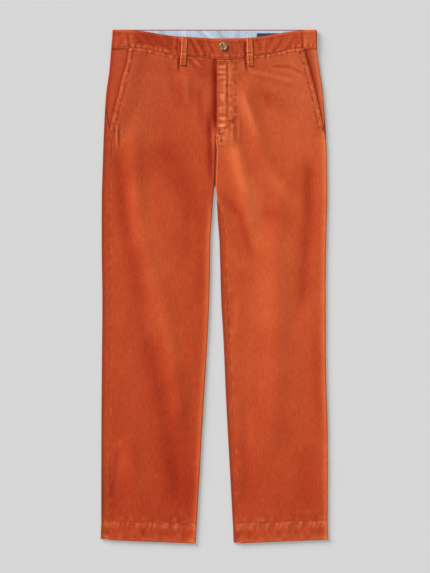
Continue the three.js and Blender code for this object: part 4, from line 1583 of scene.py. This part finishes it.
button = turned(PROFILE, BUTTON_STEPS, "horn_button")
DRILL = [(0, -1), (HOLE_RADIUS, -1), (HOLE_RADIUS, 4.5), (0, 4.5)]
holes = [turned(DRILL, HOLE_STEPS, f"drill_{i}") for i in range(4)]
for drill, (side_x, side_y) in zip(holes, [(1, 1), (1, -1), (-1, 1), (-1, -1)]):
    place = Vector((side_x, side_y, 0)) * (HOLE_OFFSET * MM)
    drill.data.transform(Matrix.Translation(place))
    cut = button.modifiers.new(drill.name, "BOOLEAN")
    cut.operation, cut.object, cut.solver = "DIFFERENCE", drill, "EXACT"
bpy.context.view_layer.update()
graph = bpy.context.evaluated_depsgraph_get()
drilled = bpy.data.meshes.new_from_object(button.evaluated_get(graph))
button.modifiers.clear()
button.data = drilled
for drill in holes:
    bpy.data.objects.remove(drill)
for face in drilled.polygons:
    face.use_smooth = abs(face.normal.z) < 0.999
for vertex in drilled.vertices:
    vertex.co += Vector((button_middle.x, button_middle.y, button_base))
drilled.materials.clear()
drilled.materials.append(horn)
print("button:", len(drilled.polygons), "faces")

# %% [markdown]
# ## Sewing
# Topstitching is a row of short thread bars, each sunk at both ends. Geometry Nodes are made for
# this: the tree resamples a path every stitch length, sets one bar on each point, turns it
# along the path, and realizes the result. Each path is a row of points on a shell's own grid,
# so that the stitches lie in the groove that the relief already has.


# %% Stitch tree
STITCH = {"Pitch": 3.0, "Length": 2.3, "Thickness": 0.6}
TACK = {"Pitch": 1.2, "Length": 1.5, "Thickness": 0.5}
BUTTON_STITCH = {"Pitch": 0.5, "Length": 0.9, "Thickness": 0.5}


def stitch_bar():
    """One stitch: a bar, thickest in the middle, 1 long and 1 thick before it is scaled."""
    body = bmesh.new()
    rings = []
    for along, radius in [(-0.5, 0.12), (-0.36, 0.42), (0.0, 0.5), (0.36, 0.42), (0.5, 0.12)]:
        rings.append([
            body.verts.new((along, radius * math.cos(a), radius * math.sin(a)))
            for a in np.linspace(0, math.tau, 6, endpoint=False)
        ])
    for first, second in zip(rings[:-1], rings[1:]):
        for i in range(6):
            j = (i + 1) % 6
            body.faces.new((first[i], second[i], second[j], first[j]))
    body.faces.new(rings[0])
    body.faces.new(list(reversed(rings[-1])))
    bmesh.ops.recalc_face_normals(body, faces=body.faces)
    made = bpy.data.meshes.new("stitch_bar")
    body.to_mesh(made)
    body.free()
    return bpy.data.objects.new("stitch_bar", made)


def stitch_tree(bar):
    tree = bpy.data.node_groups.new("row_of_stitches", "GeometryNodeTree")
    tree.interface.new_socket("Path", in_out="INPUT", socket_type="NodeSocketGeometry")
    for name, value in STITCH.items():
        socket = tree.interface.new_socket(name, in_out="INPUT", socket_type="NodeSocketFloat")
        socket.default_value = value * MM
    tree.interface.new_socket("Thread", in_out="INPUT", socket_type="NodeSocketMaterial")
    tree.interface.new_socket("Stitches", in_out="OUTPUT", socket_type="NodeSocketGeometry")
    given = node(tree, "NodeGroupInput").outputs
    path = node(tree, "GeometryNodeMeshToCurve", Mesh=given["Path"])
    points = node(
        tree, "GeometryNodeResampleCurve", {"mode": "LENGTH"}, Curve=path, Length=given["Pitch"])
    tangent = node(tree, "GeometryNodeInputTangent")
    turn = node(tree, "FunctionNodeAlignEulerToVector", {"axis": "X"}, Vector=tangent)
    size = node(
        tree, "ShaderNodeCombineXYZ", X=given["Length"], Y=given["Thickness"], Z=given["Thickness"])
    source = node(tree, "GeometryNodeObjectInfo", Object=bar)
    placed = node(
        tree, "GeometryNodeInstanceOnPoints",
        Points=points, Instance=source.outputs["Geometry"], Rotation=turn, Scale=size,
    )
    real = node(tree, "GeometryNodeRealizeInstances", Geometry=placed)
    finished = node(tree, "GeometryNodeSetMaterial", Geometry=real, Material=given["Thread"])
    node(tree, "NodeGroupOutput", Stitches=finished)
    return tree


bar = stitch_bar()
stitches = stitch_tree(bar)


def sew(name, paths, sizes=STITCH):
    """Rows of stitches along paths of points in mm, as one plain mesh."""
    vertices, edges = [], []
    for path in paths:
        first = len(vertices)
        vertices += [tuple(p * MM) for p in path]
        edges += [(first + i, first + i + 1) for i in range(len(path) - 1)]
    made = bpy.data.meshes.new(name)
    made.from_pydata(vertices, edges, [])
    piece = bpy.data.objects.new(name, made)
    bpy.context.scene.collection.objects.link(piece)
    rows = piece.modifiers.new("rows", "NODES")
    rows.node_group = stitches
    values = {key: size * MM for key, size in sizes.items()}
    values["Thread"] = thread
    for item in stitches.interface.items_tree:
        if item.in_out == "INPUT" and item.name in values:
            rows[item.identifier] = values[item.name]
    bpy.context.view_layer.update()
    graph = bpy.context.evaluated_depsgraph_get()
    sewn = bpy.data.meshes.new_from_object(piece.evaluated_get(graph))
    piece.modifiers.clear()
    piece.data = sewn
    sewn.polygons.foreach_set("use_smooth", np.ones(len(sewn.polygons), bool))
    print(f"{name}: {len(sewn.polygons) // 26} stitches")
    return piece


def on_cloth(cloth, place, depth, proud=0.12):
    """Points on a shell's face, just proud of it, from places round it and depths down it."""
    rows, found = cloth["depths"], []
    for p, d in zip(place, depth):
        r = int(np.clip(np.searchsorted(rows, d) - 1, 0, len(rows) - 2))
        share = (d - rows[r]) / (rows[r + 1] - rows[r])
        ends = []
        for row in (r, r + 1):
            at = cloth["places"][row]
            face = [np.interp(p, at, cloth["outer"][row, :, k]) for k in range(3)]
            out = [np.interp(p, at, cloth["normal"][row, :, k]) for k in range(3)]
            ends.append(np.array(face) + proud * np.array(out))
        point = lerp(ends[0], ends[1], share)
        found.append(np.array([point[0], point[1], max(point[2], 0.35)]))
    return found


print("one stitch bar has", len(bar.data.polygons), "faces")


# %% Rows of stitches
def tack(cloth, place, depth, run_place, run_depth, rows=5, apart=0.9):
    """A bar tack: short rows of stitches packed side by side."""
    length = math.hypot(run_place, run_depth)
    side_p, side_d = -run_depth / length * apart, run_place / length * apart
    paths = []
    for i in range(rows):
        shift = i - (rows - 1) / 2
        p = place + shift * side_p + np.linspace(0, run_place, 4)
        d = depth + shift * side_d + np.linspace(0, run_depth, 4)
        paths.append(on_cloth(cloth, p, d, 0.2))
    return paths


mouth = even(BAND_HEIGHT + 3, POCKET_END + 3, 3)
right_mouth = on_cloth(right_front, right_front_low(mouth) + POCKET_STITCH, mouth)
left_mouth = on_cloth(left_front, left_front_high(mouth) - POCKET_STITCH, mouth)
fly_points = np.array(fly_line())
fly_run = np.append(0, np.cumsum(np.hypot(*np.diff(fly_points, axis=0).T)))
fly_at = even(0, fly_run[-1], 3)
fly_place, fly_depth = (np.interp(fly_at, fly_run, column) for column in fly_points.T)
fly_path = on_cloth(left_front, fly_place, fly_depth)


def hem_path(cloth):
    row = int(np.searchsorted(cloth["depths"], HEM_TOP))
    place = even(cloth["places"][row][0] + 1.5, cloth["places"][row][-1] - 1.5, 3)
    return on_cloth(cloth, place, np.full(len(place), HEM_TOP))


right_thread = sew("right_front_stitching", [right_mouth, hem_path(right_front)])
left_thread = sew("left_front_stitching", [left_mouth, fly_path, hem_path(left_front)])
back_thread = sew("back_hem_stitching", [hem_path(right_back), hem_path(left_back)])


def band_path(cloth):
    place = even(cloth["places"][0][0] + 3, cloth["places"][0][-1] - 3, 3)
    return on_cloth(cloth, place, np.full(len(place), BAND_STITCH))


band_thread = sew("waistband_stitching", [band_path(right_band), band_path(left_band)])
# Cloth, place and depth of each bar tack, and how far it runs across and down
TACKS = [
    (right_front, -172, 44, 11, 9),
    (left_front, 172, 46, 12, -5),
    (right_front, -209, 196, 5, 12),
    (left_front, 217, 196, 5, 10),
    (left_front, 26, 185.5, 11, 0),
    (left_front, 7, 206, 9, 0),
    (left_front, 7, 212, 9, 0),
]
tack_thread = sew("bar_tacks", [path for row in TACKS for path in tack(*row)], TACK)


def loop_paths(loop):
    """Two rows down a loop, and a packed row across its foot."""
    outer, normal = loop["outer"], loop["normal"]
    down = [[outer[r, c] + 0.15 * normal[r, c] for r in range(1, len(outer) - 1)] for c in (3, 11)]
    across = [
        [outer[r, c] + 0.2 * normal[r, c] for c in range(1, outer.shape[1] - 1)] for r in (-3, -4)
    ]
    return down, across


loop_rows, loop_tacks = zip(loop_paths(right_loop), loop_paths(left_loop))
loop_thread = sew("loop_stitching", [path for rows in loop_rows for path in rows])
foot_thread = sew("loop_tacks", [path for rows in loop_tacks for path in rows], TACK)


BAR_HEIGHT = 2.35
BAR_RISE = 0.55
STRANDS = (-0.45, 0, 0.45)


def button_bars():
    """Two bars of thread over the button, each of three strands that dip into the holes."""
    paths = []
    for side_y in (-1, 1):
        for strand in STRANDS:
            across = np.linspace(-1, 1, 9) * HOLE_OFFSET
            rise = BAR_RISE * np.cos(np.linspace(-1, 1, 9) * math.pi / 2)
            up = BAR_HEIGHT + rise - 0.5 * (np.abs(across) > 1.6)
            paths.append([
                np.array([
                    button_middle.x / MM + a,
                    button_middle.y / MM + side_y * HOLE_OFFSET + strand,
                    button_base / MM + h,
                ])
                for a, h in zip(across, up)
            ])
    return paths


button_thread = sew("button_thread", button_bars(), BUTTON_STITCH)

# %% [markdown]
# ## Attach the pieces
# Every piece rides on the one body of the garment, and the frame's wall that it stands for is hidden.

# %% Ride and replace
CLOTHS = [
    (right_front, "front_right", "corduroy", [right_back["piece"], right_facing["piece"]],
     [right_thread]),
    (left_front, "front_left", "corduroy", [left_back["piece"], left_facing["piece"]],
     [left_thread, tack_thread]),
    (right_back, "back_right", "corduroy", [floor], [back_thread]),
    (left_back, "back_left", "corduroy", [floor], []),
    (right_facing, "pocket_facing_right", "corduroy", [right_back["piece"]], []),
    (left_facing, "pocket_facing_left", "corduroy", [left_back["piece"]], []),
    (right_band, "waistband_right", "corduroy", [back_loops["right"]["piece"]], [band_thread]),
    (left_band, "waistband_left", "corduroy", [back_loops["left"]["piece"]],
     [button, button_thread]),
    (right_loop, "belt_loop_front_right", "corduroy", [right_band["piece"]],
     [loop_thread, foot_thread]),
    (left_loop, "belt_loop_front_left", "corduroy", [left_band["piece"]], []),
    (lining, "waistband_lining", "chambray", [right_band["piece"], left_band["piece"]], []),
    (label, "waist_label", "label", [lining["piece"]], []),
    *[
        (back_loops[side_name], f"belt_loop_back_{side_name}", "corduroy", [floor], [])
        for side_name in BACK_LOOPS
    ],
]

for cloth, node_name, slot_name, rests_on, with_pieces in CLOTHS:
    piece = cloth["piece"]
    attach(piece, "root")
    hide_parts(node_name)

THREADS = [
    right_thread, left_thread, back_thread, band_thread,
    tack_thread, loop_thread, foot_thread, button_thread,
]
for sewn in THREADS:
    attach(sewn, "root")

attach(button, "root")
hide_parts("waist_button")

# %% Sizes
low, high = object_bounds()
print("visual box:", [round(c, 4) for c in low], [round(c, 4) for c in high])
